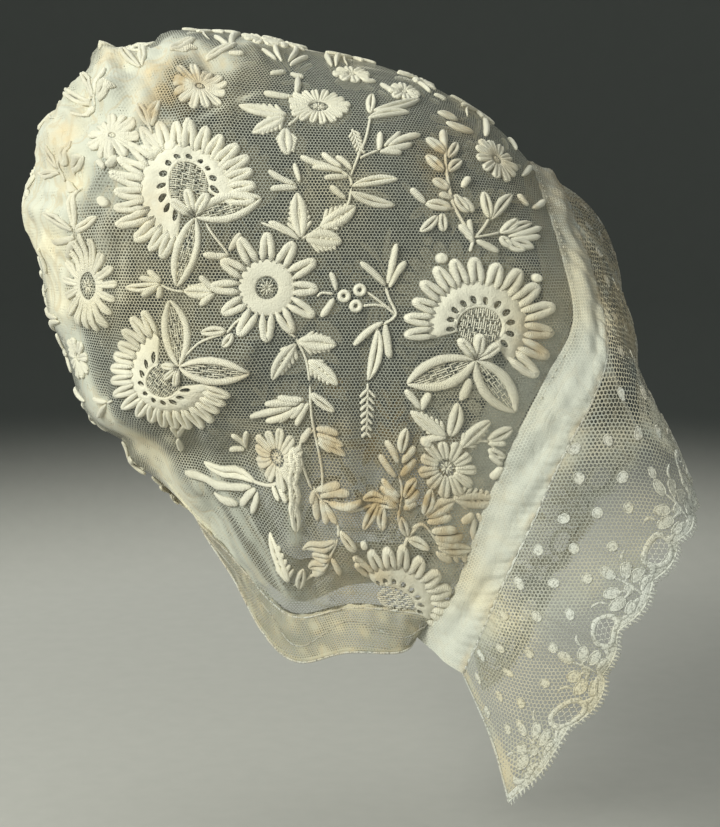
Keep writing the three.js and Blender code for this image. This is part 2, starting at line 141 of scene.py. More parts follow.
# Where the net lies doubled, gathered or crumpled and looks milky: both ends, width in mm, strength
MILKY = np.array([
    (150, 55, 118, 110, 14, 1.0), (110, 62, 70, 150, 17, 1.0), (58, 150, 42, 240, 16, 1.0),
    (40, 250, 66, 330, 11, 0.95), (190, 46, 222, 60, 9, 0.9), (240, 40, 330, 52, 5, 0.7),
    (72, 340, 104, 420, 8, 0.8), (104, 420, 200, 520, 12, 0.95), (204, 520, 262, 600, 15, 1.0),
    (288, 600, 212, 470, 3.4, 0.6), (262, 584, 168, 440, 3.0, 0.6), (296, 540, 292, 450, 3.4, 0.9),
    (312, 604, 262, 470, 2.2, 0.5), (300, 600, 240, 500, 1.4, 0.7), (260, 90, 182, 128, 1.3, 0.7),
    (120, 180, 100, 260, 4, 0.45), (345, 420, 352, 590, 1.6, 0.3), (398, 430, 388, 560, 1.6, 0.3),
    (170, 120, 100, 200, 3, 0.5), (360, 66, 480, 110, 2.0, 0.5), (300, 605, 420, 612, 1.6, 0.45),
    (290, 590, 430, 598, 1.1, 0.4), (132, 200, 118, 300, 2.0, 0.4), (480, 480, 440, 580, 2.4, 0.35),
    (585, 330, 500, 470, 3.0, 0.35),
], float)


def cubic(p0, p1, p2, p3, t):
    """Cubic through p1 and p2 whose slopes there follow from p0 and p3."""
    a = -0.5 * p0 + 1.5 * p1 - 1.5 * p2 + 0.5 * p3
    b = p0 - 2.5 * p1 + 2 * p2 - 0.5 * p3
    return ((a * t + b) * t + 0.5 * (p2 - p0)) * t + p1


def line_through(rows, t):
    """Point at each t from 0 to 1 on the smooth line through the rows, evenly shared between them."""
    rows = np.asarray(rows, float)
    ends = np.vstack([2 * rows[0] - rows[1], rows, 2 * rows[-1] - rows[-2]])
    place = np.clip(t, 0, 1) * (len(rows) - 1)
    i = np.minimum(place.astype(int), len(rows) - 2)
    return cubic(ends[i], ends[i + 1], ends[i + 2], ends[i + 3], (place - i)[..., None])


def unit(v):
    return v / np.maximum(np.linalg.norm(v, axis=-1, keepdims=True), 1e-9)


def from_middle(d, reach):
    """Places at a reach from the middle of the head, along unit directions d."""
    return HEAD_MIDDLE + d * reach[..., None]


def outline_reach(angle):
    """Reach of the side outline at an angle in radians."""
    n = len(OUTLINE_REACH)
    place = np.mod(angle / TURN * n, n)
    i = np.floor(place).astype(int)
    p0, p1, p2, p3 = (OUTLINE_REACH[(i + k) % n] for k in (-1, 0, 1, 2))
    return cubic(p0, p1, p2, p3, place - i)


def ridge_sum(points, starts, ends, widths, heights):
    """Sum of ridges: each falls off as a bell with the distance from its line."""
    total = np.zeros(points.shape[:-1])
    for a, b, width, height in zip(starts, ends, widths, heights):
        run = b - a
        t = np.clip(((points - a) @ run) / (run @ run), 0, 1)
        away = np.linalg.norm(points - a - t[..., None] * run, axis=-1)
        total += height * np.exp(-((away / width) ** 2))
    return total


def crown_reach(d):
    """Superellipse between the side outline and the half width, plus the large folds."""
    side = np.hypot(d[..., 0], d[..., 2])
    reach = outline_reach(np.arctan2(d[..., 2], d[..., 0]))
    power = SIDE_FLATNESS
    smooth = ((side / reach) ** power + (np.abs(d[..., 1]) / HALF_WIDTH) ** power) ** (-1 / power)
    flat = (HEAD_MIDDLE + smooth[..., None] * d)[..., [0, 2]]
    return smooth + ridge_sum(flat, FOLDS[:, 0:2], FOLDS[:, 2:4], FOLDS[:, 4], FOLDS[:, 5])


def seen(px, py):
    """Right side of the crown where a pixel of the layout view shows it, by halving along the ray."""
    px, py = np.asarray(px, float), np.asarray(py, float)
    pixels = VIEW_LENS * VIEW_HEIGHT / VIEW_SENSOR
    ray = unit(VIEW_FORWARD + ((px - VIEW_WIDTH / 2) / pixels)[..., None] * VIEW_RIGHT
               + ((VIEW_HEIGHT / 2 - py) / pixels)[..., None] * VIEW_UP)
    far = ray @ (HEAD_MIDDLE - VIEW_PLACE)
    near = far - OUTLINE_REACH.max()
    for _ in range(36):
        half = (near + far) / 2
        out = VIEW_PLACE + half[..., None] * ray - HEAD_MIDDLE
        outside = np.linalg.norm(out, axis=-1) > crown_reach(unit(out))
        near, far = np.where(outside, half, near), np.where(outside, far, half)
    out = unit(VIEW_PLACE + far[..., None] * ray - HEAD_MIDDLE)
    return from_middle(out, crown_reach(out))


def crown_edge(x, z):
    """Right half of the crown where the side view shows x, z, by halving the angle off the middle."""
    angle = np.arctan2(z - HEAD_MIDDLE[2], x - HEAD_MIDDLE[0])
    wanted = np.hypot(x - HEAD_MIDDLE[0], z - HEAD_MIDDLE[2])
    low, high = np.zeros_like(angle), np.full_like(angle, np.pi / 2)
    for _ in range(40):
        turn = (low + high) / 2
        d = np.stack([np.cos(turn) * np.cos(angle), -np.sin(turn), np.cos(turn) * np.sin(angle)], -1)
        inside = crown_reach(d) * np.cos(turn) > wanted
        low, high = np.where(inside, turn, low), np.where(inside, high, turn)
    return from_middle(d, crown_reach(d))


CREASE_ENDS = seen(*CREASES[:, 0:2].T), seen(*CREASES[:, 2:4].T)
MILKY_ENDS = seen(*MILKY[:, 0:2].T), seen(*MILKY[:, 2:4].T)


def over_head(rows):
    """Right-hand rows carried on over the middle to their mirror images, left jaw first."""
    return np.vstack([(rows[1:] * (1, -1, 1))[::-1], rows])


def to_right(points):
    """The points, with those of the left side mirrored to the right."""
    return np.where(points[..., 1:2] > 0, points * (1, -1, 1), points)


def milky_at(points):
    """How milky the net looks at points of either side, 0 to 1; all of the slack at the back is."""
    x, _, z = np.moveaxis(points, -1, 0)
    back = 0.9 * np.exp(-((x + 118) / 20) ** 2 - ((z + 40) / 62) ** 2)
    return np.clip(ridge_sum(to_right(points), *MILKY_ENDS, MILKY[:, 4], MILKY[:, 5]) + back, 0, 1)


def net_reach(d):
    """Reach of the net itself: the solid's reach, less half its wall, with creases and crumples."""
    base = crown_reach(d) - NET_DEPTH
    fine = ridge_sum(from_middle(to_right(d), base), *CREASE_ENDS, CREASES[:, 4], CREASES[:, 5])
    x, y, z = np.moveaxis(from_middle(d, base), -1, 0)
    slack = np.exp(-((x + 95) / 42) ** 2 - ((z + 30) / 60) ** 2)
    crumple = (1.3 - 2.2 * np.abs(np.sin(0.10 * x + 0.06 * z + 0.05 * y + 0.8 * np.sin(0.05 * z)))
               + 0.9 * np.sin(0.17 * z - 0.13 * y) * np.sin(0.14 * x + 0.11 * y)
               - 1.1 * np.abs(np.sin(0.13 * z + 0.08 * y - 0.05 * x + 1.3)) + 0.7)
    soft = np.sin(0.055 * x + 0.02 * y + 0.7) * np.sin(0.06 * z - 0.04 * y)
    edge = np.clip((95 - x) / 20, 0, 1)
    sharp = 0.9 - 1.8 * np.abs(np.sin(0.19 * x - 0.12 * z + 0.1 * y + 1.5 * np.sin(0.07 * z + 0.05 * x)))
    small = 0.5 - np.abs(np.sin(0.36 * x + 0.22 * z - 0.2 * y + 1.2 * np.sin(0.13 * z - 0.1 * y)))
    return base + (fine + slack * (1.7 * crumple + 1.2 * sharp + 0.8 * small) + 0.5 * soft) * edge


def on_net(points, lift):
    """Points dropped towards the middle of the head on to the net, and raised by lift."""
    d = unit(points - HEAD_MIDDLE)
    return from_middle(d, net_reach(d) + lift)


# Meshes


def new_object(name, data):
    made = bpy.data.objects.new(name, data)
    bpy.context.scene.collection.objects.link(made)
    return made


def new_piece(name, points, faces, cloths, uv, values, looks=None):
    """One mesh object from points in mm and a list of index arrays of triangles or quads.

    cloths names its materials. looks has the material of each face, where there are several.
    """
    mesh = bpy.data.meshes.new(name)
    points = np.asarray(points, float).reshape(-1, 3) * MM
    loops = np.concatenate([f.reshape(-1) for f in faces]).astype(np.int32)
    sizes = np.concatenate([np.full(len(f), f.shape[1]) for f in faces])
    starts = np.concatenate([[0], np.cumsum(sizes)[:-1]]).astype(np.int32)
    mesh.vertices.add(len(points))
    mesh.vertices.foreach_set("co", points.reshape(-1))
    mesh.loops.add(len(loops))
    mesh.loops.foreach_set("vertex_index", loops)
    mesh.polygons.add(len(sizes))
    mesh.polygons.foreach_set("loop_start", starts)
    mesh.polygons.foreach_set("use_smooth", np.ones(len(sizes), bool))
    for cloth in cloths:
        mesh.materials.append(material(cloth))
    if looks:
        mesh.polygons.foreach_set("material_index", np.concatenate(looks).astype(np.int32))
    mesh.update(calc_edges=True)
    corners = np.asarray(uv, np.float32).reshape(-1, 2)[loops]
    mesh.uv_layers.new(name="cloth").data.foreach_set("uv", corners.reshape(-1))
    for key, value in values.items():
        data = mesh.attributes.new(key, "FLOAT", "POINT").data
        data.foreach_set("value", np.asarray(value, np.float32).reshape(-1))
    mesh.validate()
    piece = new_object(name, mesh)
    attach(piece, "root")
    return piece


def grid_faces(rows, columns, wrap=False):
    """Quads of a grid of rows by columns, closed across its columns when wrap is set."""
    index = np.arange(rows * columns).reshape(rows, columns)
    right = np.roll(index, -1, 1)
    quads = np.stack([index[:-1], index[1:], right[1:], right[:-1]], -1)
    return (quads if wrap else quads[:, :-1]).reshape(-1, 4)


def capped_faces(rings, sides, count):
    """Faces of count shapes of a first tip, rings of points with so many sides, and a last tip."""
    ring = 1 + np.arange(rings * sides).reshape(rings, sides)
    after = np.roll(ring, -1, 1)
    size = rings * sides + 2
    quads = np.stack([ring[:-1], after[:-1], after[1:], ring[1:]], -1).reshape(-1, 4)
    first = np.stack([0 * ring[0], after[0], ring[0]], -1)
    last = np.stack([0 * ring[0] + size - 1, ring[-1], after[-1]], -1)
    offset = (np.arange(count) * size)[:, None, None]
    return [quads + offset, np.vstack([first, last]) + offset]


def lengths(points, axis):
    """Length so far of lines of points along an axis."""
    steps = np.diff(points, axis=axis, prepend=np.take(points, [0], axis))
    return np.cumsum(np.linalg.norm(steps, axis=-1), axis)


def both_faces(values):
    """Values of a top grid, and again backwards for its underside."""
    return np.concatenate([values, values[:, ::-1]], 1)


def closed(t, steepness):
    """1 along a line, falling to 0 at both of its ends."""
    return np.clip(np.minimum(t, 1 - t) * steepness, 0, 1)


class Parts:
    """Collects points, faces and point values of many small shapes into one mesh."""

    def __init__(self):
        self.points, self.faces, self.uv, self.shade, self.look = [], {3: [], 4: []}, [], [], []
        self.count = 0

    def add(self, points, faces, uv, shade, look=0):
        """look is the place of the shape's material among those of the piece."""
        points = points.reshape(-1, 3)
        self.points.append(points)
        self.uv.append(uv.reshape(-1, 2))
        self.shade.append(np.broadcast_to(shade, (len(points),)))
        self.look.append(np.full(len(points), look))
        for f in faces:
            self.faces[f.shape[-1]].append(f.reshape(-1, f.shape[-1]) + self.count)
        self.count += len(points)

    def piece(self, name, cloths, slot, left=False, tan=0.0):
        """The mesh; left mirrors it to the wearer's left side. tan is the least strength of its tan tint:
        stain, and painted shade over the forehead.
        """
        points = np.vstack(self.points)
        faces = [np.vstack(f) for f in self.faces.values() if f]
        looks = [np.concatenate(self.look)[f[:, 0]] for f in faces]
        values = {"stain_and_shade": np.maximum(stain_at(points), tan), "shade": np.concatenate(self.shade)}
        if left:
            points = points * (1, -1, 1)
            faces = [f[:, ::-1] for f in faces]
        return new_piece(name, points, faces, cloths, np.vstack(self.uv), values, looks)


# Cross-sections of a padded shape: across and up, as shares of its half width and height
ROUNDED = np.array([(-1, 0), (-0.8, 0.6), (-0.35, 0.95), (0.35, 0.95), (0.8, 0.6), (1, 0), (0, -0.3)])
GROOVED = np.array([(-1, 0), (-0.85, 0.7), (-0.5, 1), (-0.14, 0.62), (0, 0.4), (0.14, 0.62),
                    (0.5, 1), (0.85, 0.7), (1, 0), (0, -0.3)])
FLAT = np.array([(-1, 0), (-0.7, 0.9), (0, 1), (0.7, 0.9), (1, 0), (0, -0.2)])

UNEVEN, LONG_LINE = 0.07, 30  # how far the width of lines of fewer steps wanders, as a share


def padded_strips(parts, line, side, half_width, height, section, place, shade=0.5, lift=0.1):
    """Closed padded shapes along lines.

    line is N by S points; a section of K points is laid across each, half_width wide along side and
    height high, and place drops it on to the cloth. The first and last sections close to a point.
    """
    n, s = line.shape[:2]
    k = len(section)
    wander = UNEVEN * np.sin(2.4 * np.arange(s) + 1.7 * np.arange(n)[:, None])
    half_width = half_width * (1 + wander * (s < LONG_LINE))
    across = section[:, 0] * half_width[:, 1:-1, None]
    rise = section[:, 1] * np.broadcast_to(height, (n, s))[:, 1:-1, None] + lift
    side = np.broadcast_to(side, line.shape)
    rings = place(line[:, 1:-1, None] + side[:, 1:-1, None] * across[..., None], rise)
    tips = place(line[:, [0, -1]], np.full((n, 2), lift))
    points = np.concatenate([tips[:, :1], rings.reshape(n, -1, 3), tips[:, 1:]], 1)
    u = lengths(line, 1)
    u = np.concatenate([u[:, :1], np.repeat(u[:, 1:-1], k, 1), u[:, -1:]], 1)
    v = np.pad(across.reshape(n, -1), ((0, 0), (1, 1)))
    shade = np.repeat(np.broadcast_to(shade, (n,)), points.shape[1])
    parts.add(points, capped_faces(s - 2, k, n), np.stack([u, v], -1), shade)


def bowed_lines(start, end, side, bend, steps):
    """Lines from start to end with a parabola to one side, bend times side high in the middle.

    The steps lie closer together at both ends.
    """
    t = 0.5 - 0.5 * np.cos(np.pi * np.linspace(0, 1, steps))
    bow = 4 * t * (1 - t) * np.broadcast_to(bend, len(start))[:, None]
    return start[:, None] + t[:, None] * (end - start)[:, None] + bow[..., None] * side[:, None], t


def net_sides(line):
    """Direction across each line, along the net."""
    run = np.gradient(line, axis=1)
    return unit(np.cross(run, line - HEAD_MIDDLE))


def lobe_profile(t, base, tip, swell, sharp=1.0):
    """Half width along a lobe: quarter circles at both ends, swelling by a share towards the tip.

    A sharp tip is the quarter circle to a higher power.
    """
    start = np.sqrt(np.clip(1 - (1 - np.clip(t / base, 0, 1)) ** 2, 0, 1))
    end = np.clip(1 - (1 - np.clip((1 - t) / tip, 0, 1)) ** 2, 0, 1) ** (0.5 * sharp)
    return start * end * (1 - swell + swell * t)


def add_lobes(parts, start, end, width, bend, height, section=ROUNDED, base=0.55, tip=0.4, swell=0.0,
              steps=9, shade=0.5, lift=0.1, sharp=1.0):
    """Satin-stitch lobes from start to end, bowed by a share of their length."""
    run = end - start
    side = np.linalg.norm(run, axis=-1, keepdims=True) * unit(np.cross(run, (start + end) / 2 - HEAD_MIDDLE))
    line, t = bowed_lines(start, end, side, bend, steps)
    profile = lobe_profile(t, base, tip, swell, sharp)
    half = 0.5 * np.broadcast_to(width, len(start))[:, None] * profile
    padded_strips(parts, line, net_sides(line), half, height * np.sqrt(profile), section, on_net, shade, lift)


def add_loops(parts, foot, tip, width, stroke, height, pinch=0.6, shade=0.5, lift=0.1):
    """Petals as loops of one padded stroke: up one side, round the tip and down the other.

    Across is half the spread times the cosine of a half turn, narrowed towards the foot, and along is
    its sine to the power 0.55.
    """
    t = np.linspace(0, 1, 15)
    along = np.clip(np.sin(np.pi * (1 - t)), 0, 1) ** 0.55
    across = 0.5 * (width - stroke) * np.cos(np.pi * (1 - t)) * (pinch + (1 - pinch) * along)
    run = tip - foot
    side = unit(np.cross(run, foot - HEAD_MIDDLE))
    line = foot[:, None] + along[:, None] * run[:, None] + across[:, None] * side[:, None]
    ends = closed(t, 20)
    padded_strips(parts, line, net_sides(line), 0.5 * stroke * ends, height * ends, ROUNDED, on_net, shade,
                  lift)


def add_slit_leaves(parts, foot, tip, width, bend, height, shade=0.5):
    """Leaves of two pointed lobes that meet at the tip, with a slit between them."""
    length = np.linalg.norm(tip - foot, axis=-1)
    for side in (1, -1):
        add_lobes(parts, foot, tip, 0.48 * width, bend + side * 0.26 * width / length, height, ROUNDED,
                  0.3, 0.42, 0.1, 10, shade, sharp=1.2)


def add_stem(parts, pixels, width, height):
    """Stem: a thin padded strip on the smooth line through points of the layout view."""
    t = np.linspace(0, 1, max(6 * len(pixels) - 5, 8))
    line = line_through(seen(*np.array(pixels, float).T), t)[None]
    ends = closed(t, 12)
    padded_strips(parts, line, net_sides(line), 0.5 * width * ends, height * ends, ROUNDED, on_net)


def add_dome(parts, centre, radius, height, sides=12, rings=4):
    """Round knob: rings of a half circle, and a flat underside."""
    r = np.linspace(1, 1 / rings, rings)
    rise = height * np.sqrt(1 - (2 * r - 1) ** 2 * (r > 0.5)) * (r < 1)
    turn = np.linspace(0, TURN, sides, endpoint=False)
    spots = polar_places(centre, radius)(*np.broadcast_arrays(r[:, None], turn))
    low, top = on_net(np.stack([centre, centre]), np.array([-0.2, height]))
    points = np.vstack([low, on_net(spots, rise[:, None]).reshape(-1, 3), top])
    parts.add(points, capped_faces(rings, sides, 1), np.zeros((len(points), 2)), 0.5)


# Embroidery, laid out in pixels of the layout view

# Old stains: place, radius in mm, strength
STAINS = (
    (170, 85, 12, 0.95), (60, 140, 12, 0.4), (152, 205, 9, 0.35), (530, 335, 11, 0.5), (330, 441, 10, 0.85),
    (335, 500, 13, 0.8), (372, 514, 9, 0.7), (400, 468, 13, 0.85), (404, 500, 11, 0.85), (452, 543, 13, 0.9),
    (478, 498, 8, 0.5), (372, 580, 14, 0.6), (326, 560, 12, 0.7), (436, 150, 9, 0.75), (438, 172, 8, 0.45),
    (462, 124, 9, 0.7), (452, 205, 9, 0.4), (432, 508, 9, 0.5), (222, 250, 8, 0.3), (300, 330, 8, 0.25),
    (497, 158, 10, 0.45), (156, 72, 6, 0.8), (178, 78, 8, 0.5), (62, 135, 6, 0.6), (152, 112, 8, 0.65),
    (104, 56, 6, 0.6), (44, 160, 6, 0.4), (538, 350, 7, 0.5), (200, 60, 16, 0.35), (104, 230, 14, 0.2),
    (265, 455, 8, 0.7), (530, 206, 9, 0.6), (245, 375, 6, 0.4), (200, 385, 12, 0.3),
)

# Single leaves: foot x, y, tip x, y, width in mm
LEAVES = np.array([
    (301, 238, 297, 192, 7.6), (320, 227, 356, 206, 7.2), (306, 239, 342, 243, 7.6),
    (291, 446, 300, 474, 5.2), (298, 452, 291, 492, 5.4), (291, 480, 295, 512, 5.2),
    (297, 490, 294, 520, 4.6), (293, 506, 297, 532, 4.6), (289, 583, 270, 532, 6.6),
    (299, 240, 268, 222, 3.8), (296, 184, 268, 170, 3.6), (300, 182, 294, 163, 3.2),
    (298, 188, 270, 189, 3.6), (334, 167, 300, 155, 3.6), (344, 172, 312, 167, 3.2),
    (349, 177, 324, 178, 3.4), (342, 167, 322, 152, 3.6), (352, 170, 336, 156, 3.2),
    (346, 199, 330, 186, 3.6), (370, 113, 372, 94, 4.4), (372, 111, 420, 99, 4.8), (368, 118, 410, 113, 4.4),
    (379, 150, 380, 132, 3.6), (384, 146, 400, 132, 3.4), (388, 146, 421, 135, 4), (384, 149, 412, 144, 3.8),
    (380, 151, 402, 153, 3.4), (352, 186, 399, 179, 4.6), (350, 192, 396, 205, 4.8),
    (287, 113, 238, 104, 5.6), (285, 116, 252, 132, 5.6), (286, 127, 288, 154, 6.6), (293, 95, 263, 91, 4),
    (296, 92, 298, 76, 3.8), (276, 58, 262, 48, 3.4), (282, 60, 276, 44, 3.4), (288, 60, 296, 46, 3.4),
    (290, 64, 308, 56, 3.4), (286, 70, 270, 72, 3.2), (290, 72, 304, 76, 3.2), (228, 255, 204, 255, 4),
    (229, 251, 241, 233, 3.8), (445, 153, 426, 138, 5), (446, 150, 443, 130, 4.2), (448, 157, 457, 142, 4.6),
    (444, 171, 426, 155, 5.2), (449, 171, 462, 160, 4.8), (449, 189, 433, 179, 4.4),
    (463, 187, 470, 177, 4.2), (454, 198, 440, 193, 3.8), (455, 194, 470, 212, 5), (463, 197, 474, 212, 4.2),
    (426, 203, 411, 188, 3.8), (452, 208, 426, 203, 5.2), (438, 215, 421, 231, 4.6),
    (443, 213, 445, 231, 4.6), (490, 218, 484, 191, 5.2), (492, 219, 512, 194, 5.2), (474, 242, 460, 224, 4),
    (473, 238, 470, 219, 3.2), (477, 240, 500, 252, 4), (502, 232, 517, 219, 5), (507, 233, 532, 223, 4.4),
    (510, 236, 541, 227, 4.2), (512, 239, 540, 236, 4), (510, 241, 534, 248, 5), (506, 240, 526, 250, 4.8),
    (502, 236, 513, 247, 4.4), (438, 112, 458, 120, 4.8), (446, 122, 474, 132, 4.6), (462, 105, 480, 112, 4),
    (484, 118, 486, 136, 4), (430, 92, 418, 82, 3.4), (434, 94, 446, 100, 3.4), (516, 150, 508, 138, 3.4),
    (522, 176, 530, 166, 3.4), (528, 206, 518, 194, 3.6), (532, 208, 544, 200, 3.6), (332, 66, 326, 54, 3.4),
    (336, 66, 342, 54, 3.4), (380, 84, 394, 92, 3.4), (376, 82, 362, 80, 3.4), (388, 284, 397, 243, 3.8),
    (386, 286, 360, 262, 3.8), (390, 288, 407, 261, 4.2), (384, 322, 354, 346, 3.8),
    (386, 324, 390, 359, 4.2), (379, 330, 369, 382, 5.2), (336, 291, 330, 272, 3.2), (334, 298, 321, 317, 4),
    (298, 342, 337, 345, 7.4), (296, 344, 272, 381, 6.2), (308, 361, 338, 386, 6.2),
    (310, 394, 335, 412, 4.6), (309, 404, 296, 427, 4), (160, 284, 124, 287, 4.4), (159, 283, 139, 278, 3.6),
    (161, 282, 147, 270, 3.8), (160, 286, 158, 299, 3.4), (158, 287, 143, 297, 3.8),
    (212, 292, 183, 291, 5.6), (214, 290, 199, 276, 4), (214, 294, 200, 306, 4), (73, 230, 80, 187, 5),
    (70, 230, 42, 213, 4.8), (74, 232, 96, 216, 4.6), (71, 236, 46, 240, 4.2), (73, 240, 62, 258, 3.8),
    (40, 248, 44, 274, 4.2), (58, 318, 40, 308, 4.2), (60, 322, 44, 332, 4.2), (105, 403, 93, 398, 3.6),
    (105, 405, 98, 418, 3.6), (84, 402, 66, 392, 4), (232, 334, 222, 347, 4.4), (226, 331, 200, 333, 4.6),
    (256, 482, 203, 462, 4.4), (252, 487, 184, 471, 4.2), (256, 489, 241, 505, 4), (258, 492, 252, 511, 3.8),
    (214, 492, 238, 506, 4.2), (247, 449, 231, 435, 4), (246, 447, 247, 432, 3.6), (245, 450, 229, 450, 3.6),
    (178, 437, 171, 426, 3.2), (179, 437, 186, 425, 3.2), (179, 438, 181, 452, 3.2),
    (311, 429, 301, 443, 3.8), (316, 430, 339, 434, 4.2), (317, 435, 344, 444, 4.4),
    (318, 440, 346, 455, 4.4), (318, 443, 332, 452, 3.6), (388, 502, 363, 500, 4.4),
    (336, 541, 302, 550, 4.6), (340, 530, 356, 548, 4.4), (330, 556, 312, 558, 4.4),
    (326, 562, 308, 570, 4.6), (322, 569, 314, 579, 4), (299, 590, 303, 570, 4.8), (331, 557, 340, 575, 3.8),
    (273, 484, 279, 500, 3.6), (278, 486, 286, 502, 3.6), (446, 436, 410, 411, 6), (449, 436, 457, 402, 5.4),
    (460, 447, 491, 421, 5.6), (446, 437, 424, 440, 3.4), (488, 440, 513, 428, 5), (488, 444, 506, 444, 4.2),
    (489, 450, 506, 457, 4.4), (490, 456, 502, 465, 4), (503, 467, 491, 479, 4), (424, 516, 432, 490, 5),
    (427, 518, 455, 500, 5.8), (428, 524, 452, 516, 4), (453, 498, 500, 499, 7.2), (474, 514, 462, 523, 4.2),
    (478, 514, 488, 526, 4.2), (473, 540, 474, 517, 3.6), (432, 533, 458, 530, 4.2),
    (434, 538, 464, 536, 4.2), (436, 543, 462, 546, 4.2), (438, 548, 473, 550, 4.8),
    (436, 552, 452, 560, 4.2), (408, 540, 430, 550, 4.6), (401, 517, 408, 538, 4.4),
    (420, 409, 405, 390, 4.2), (421, 410, 430, 393, 3.8), (459, 400, 469, 378, 4.2), (364, 562, 352, 554, 3),
    (161, 148, 145, 137, 3.8), (161, 147, 153, 134, 3.6), (160, 149, 140, 148, 3.8),
    (161, 151, 146, 158, 3.6), (150, 128, 138, 104, 4.4), (152, 126, 160, 100, 4.4), (92, 96, 84, 74, 4.6),
    (94, 94, 104, 66, 4.6), (90, 98, 66, 92, 4.6), (96, 98, 118, 88, 4.6), (92, 104, 74, 116, 4.2),
    (58, 168, 46, 146, 4.6), (62, 166, 70, 140, 4.6), (58, 172, 36, 172, 4.4), (66, 170, 86, 158, 4.4),
    (62, 178, 74, 192, 4.2), (140, 66, 126, 50, 4.4), (142, 66, 146, 44, 4.4), (228, 44, 214, 34, 3.8),
    (232, 46, 240, 32, 3.8), (228, 52, 244, 52, 3.8), (110, 172, 98, 160, 3.8), (112, 170, 118, 156, 3.8),
    (112, 178, 126, 176, 3.8), (172, 52, 195, 38, 6), (204, 56, 236, 41, 5.2), (316, 490, 340, 483, 4.2),
    (320, 497, 350, 492, 4.2), (328, 503, 362, 501, 4.2), (315, 494, 317, 519, 4.2),
    (320, 500, 326, 522, 4.2), (325, 503, 337, 523, 4.2), (314, 490, 311, 503, 3.6),
    (400, 452, 406, 427, 4.7), (397, 462, 386, 441, 4.2), (396, 476, 381, 456, 4.2),
    (401, 462, 415, 446, 4.2), (400, 475, 416, 459, 4.2), (400, 496, 383, 480, 4.2),
    (399, 502, 381, 489, 4.2), (398, 507, 384, 498, 4), (404, 498, 417, 479, 4.4), (405, 504, 419, 491, 4.2),
    (404, 510, 417, 503, 4.2), (379, 504, 363, 530, 4.7), (384, 508, 382, 531, 4.4), (304, 400, 277, 398, 4),
    (300, 404, 264, 405, 4.2), (292, 408, 249, 418, 4.2), (298, 408, 265, 422, 4.2),
    (302, 408, 278, 423, 4.2), (304, 404, 290, 419, 4),
], float)

SLIT_WIDTH, COMB_WIDTH = 4.3, 5.5  # leaves at least this wide have a slit, wider ones teeth

# Leaves low at the back, painted lighter to stand in for light on them: their shade, and what their feet and
# tips lie between
PALE_SHADE, PALE_LEFT, PALE_RIGHT, PALE_TOP, PALE_BOTTOM = 1.1, 269, 301, 440, 540

# Comb leaves: foot x, y, tip x, y, number of pairs, length of a tooth in mm, width of a tooth in mm
COMBS = (
    (369, 384, 367, 438, 7, 4.6, 1.2), (352, 128, 361, 152, 6, 3.4, 1.1), (440, 553, 474, 558, 4, 3.4, 2.0),
)

# Stems, as points of the layout view
STEMS = (
    ((350, 178), (360, 152), (366, 138), (371, 114)), ((302, 239), (312, 233), (322, 226)),
    ((297, 185), (285, 180), (272, 176)), ((352, 186), (346, 208), (322, 232), (303, 239)),
    ((360, 158), (368, 154), (379, 150)), ((352, 186), (350, 178), (340, 170)),
    ((386, 287), (390, 299), (396, 315), (382, 326)), ((366, 291), (377, 299), (386, 306), (396, 315)),
    ((362, 306), (376, 305), (392, 308)), ((317, 297), (322, 293), (334, 294)),
    ((379, 326), (374, 350), (369, 384)), ((296, 338), (306, 360), (310, 384)),
    ((310, 384), (311, 410), (314, 430), (322, 470), (322, 500)), ((277, 318), (286, 330), (296, 338)),
    ((316, 430), (304, 438), (300, 450), (304, 470), (313, 492)),
    ((447, 128), (446, 160), (452, 196), (462, 218), (474, 237)), ((475, 237), (471, 252)),
    ((474, 237), (488, 235), (502, 232)), ((398, 474), (402, 488), (400, 506), (398, 524)),
    ((322, 500), (350, 510), (377, 508), (400, 506)),
    ((313, 486), (320, 498), (332, 512), (338, 526), (338, 538)),
    ((338, 538), (330, 556), (318, 576), (292, 588)), ((283, 482), (262, 484), (230, 474), (204, 464)),
    ((461, 446), (476, 441), (490, 442)), ((503, 462), (498, 452), (488, 442)),
    ((472, 520), (474, 540), (472, 556)), ((412, 530), (424, 526), (436, 540), (446, 554)),
    ((160, 285), (172, 290), (184, 292)), ((70, 232), (66, 250), (74, 262)), ((214, 292), (224, 290)),
    ((205, 222), (214, 236), (223, 247), (229, 256)), ((179, 362), (196, 345), (210, 338), (224, 334)),
    ((226, 334), (236, 322), (246, 316)), ((288, 124), (296, 118), (302, 110)),
    ((490, 218), (484, 228), (476, 237)), ((152, 134), (150, 122), (158, 104)),
    ((92, 104), (94, 90), (102, 70)), ((60, 180), (60, 164), (68, 142)),
    ((260, 222), (284, 232), (300, 239)), ((400, 562), (408, 540), (420, 526)),
    ((426, 203), (440, 208), (456, 208)), ((105, 404), (114, 400)),
)

# Knobs: x, y, radius in mm
KNOBS = ((443, 258, 2.4), (538, 278, 2.0), (426, 442, 2.2), (105, 203, 2.2), (189, 128, 2.4), (172, 148, 2.8),
         (364, 545, 1.6))

# Open berries: x, y, radius in mm
BERRIES = ((344, 296, 2.5), (360, 290, 2.5), (356, 306, 2.5))

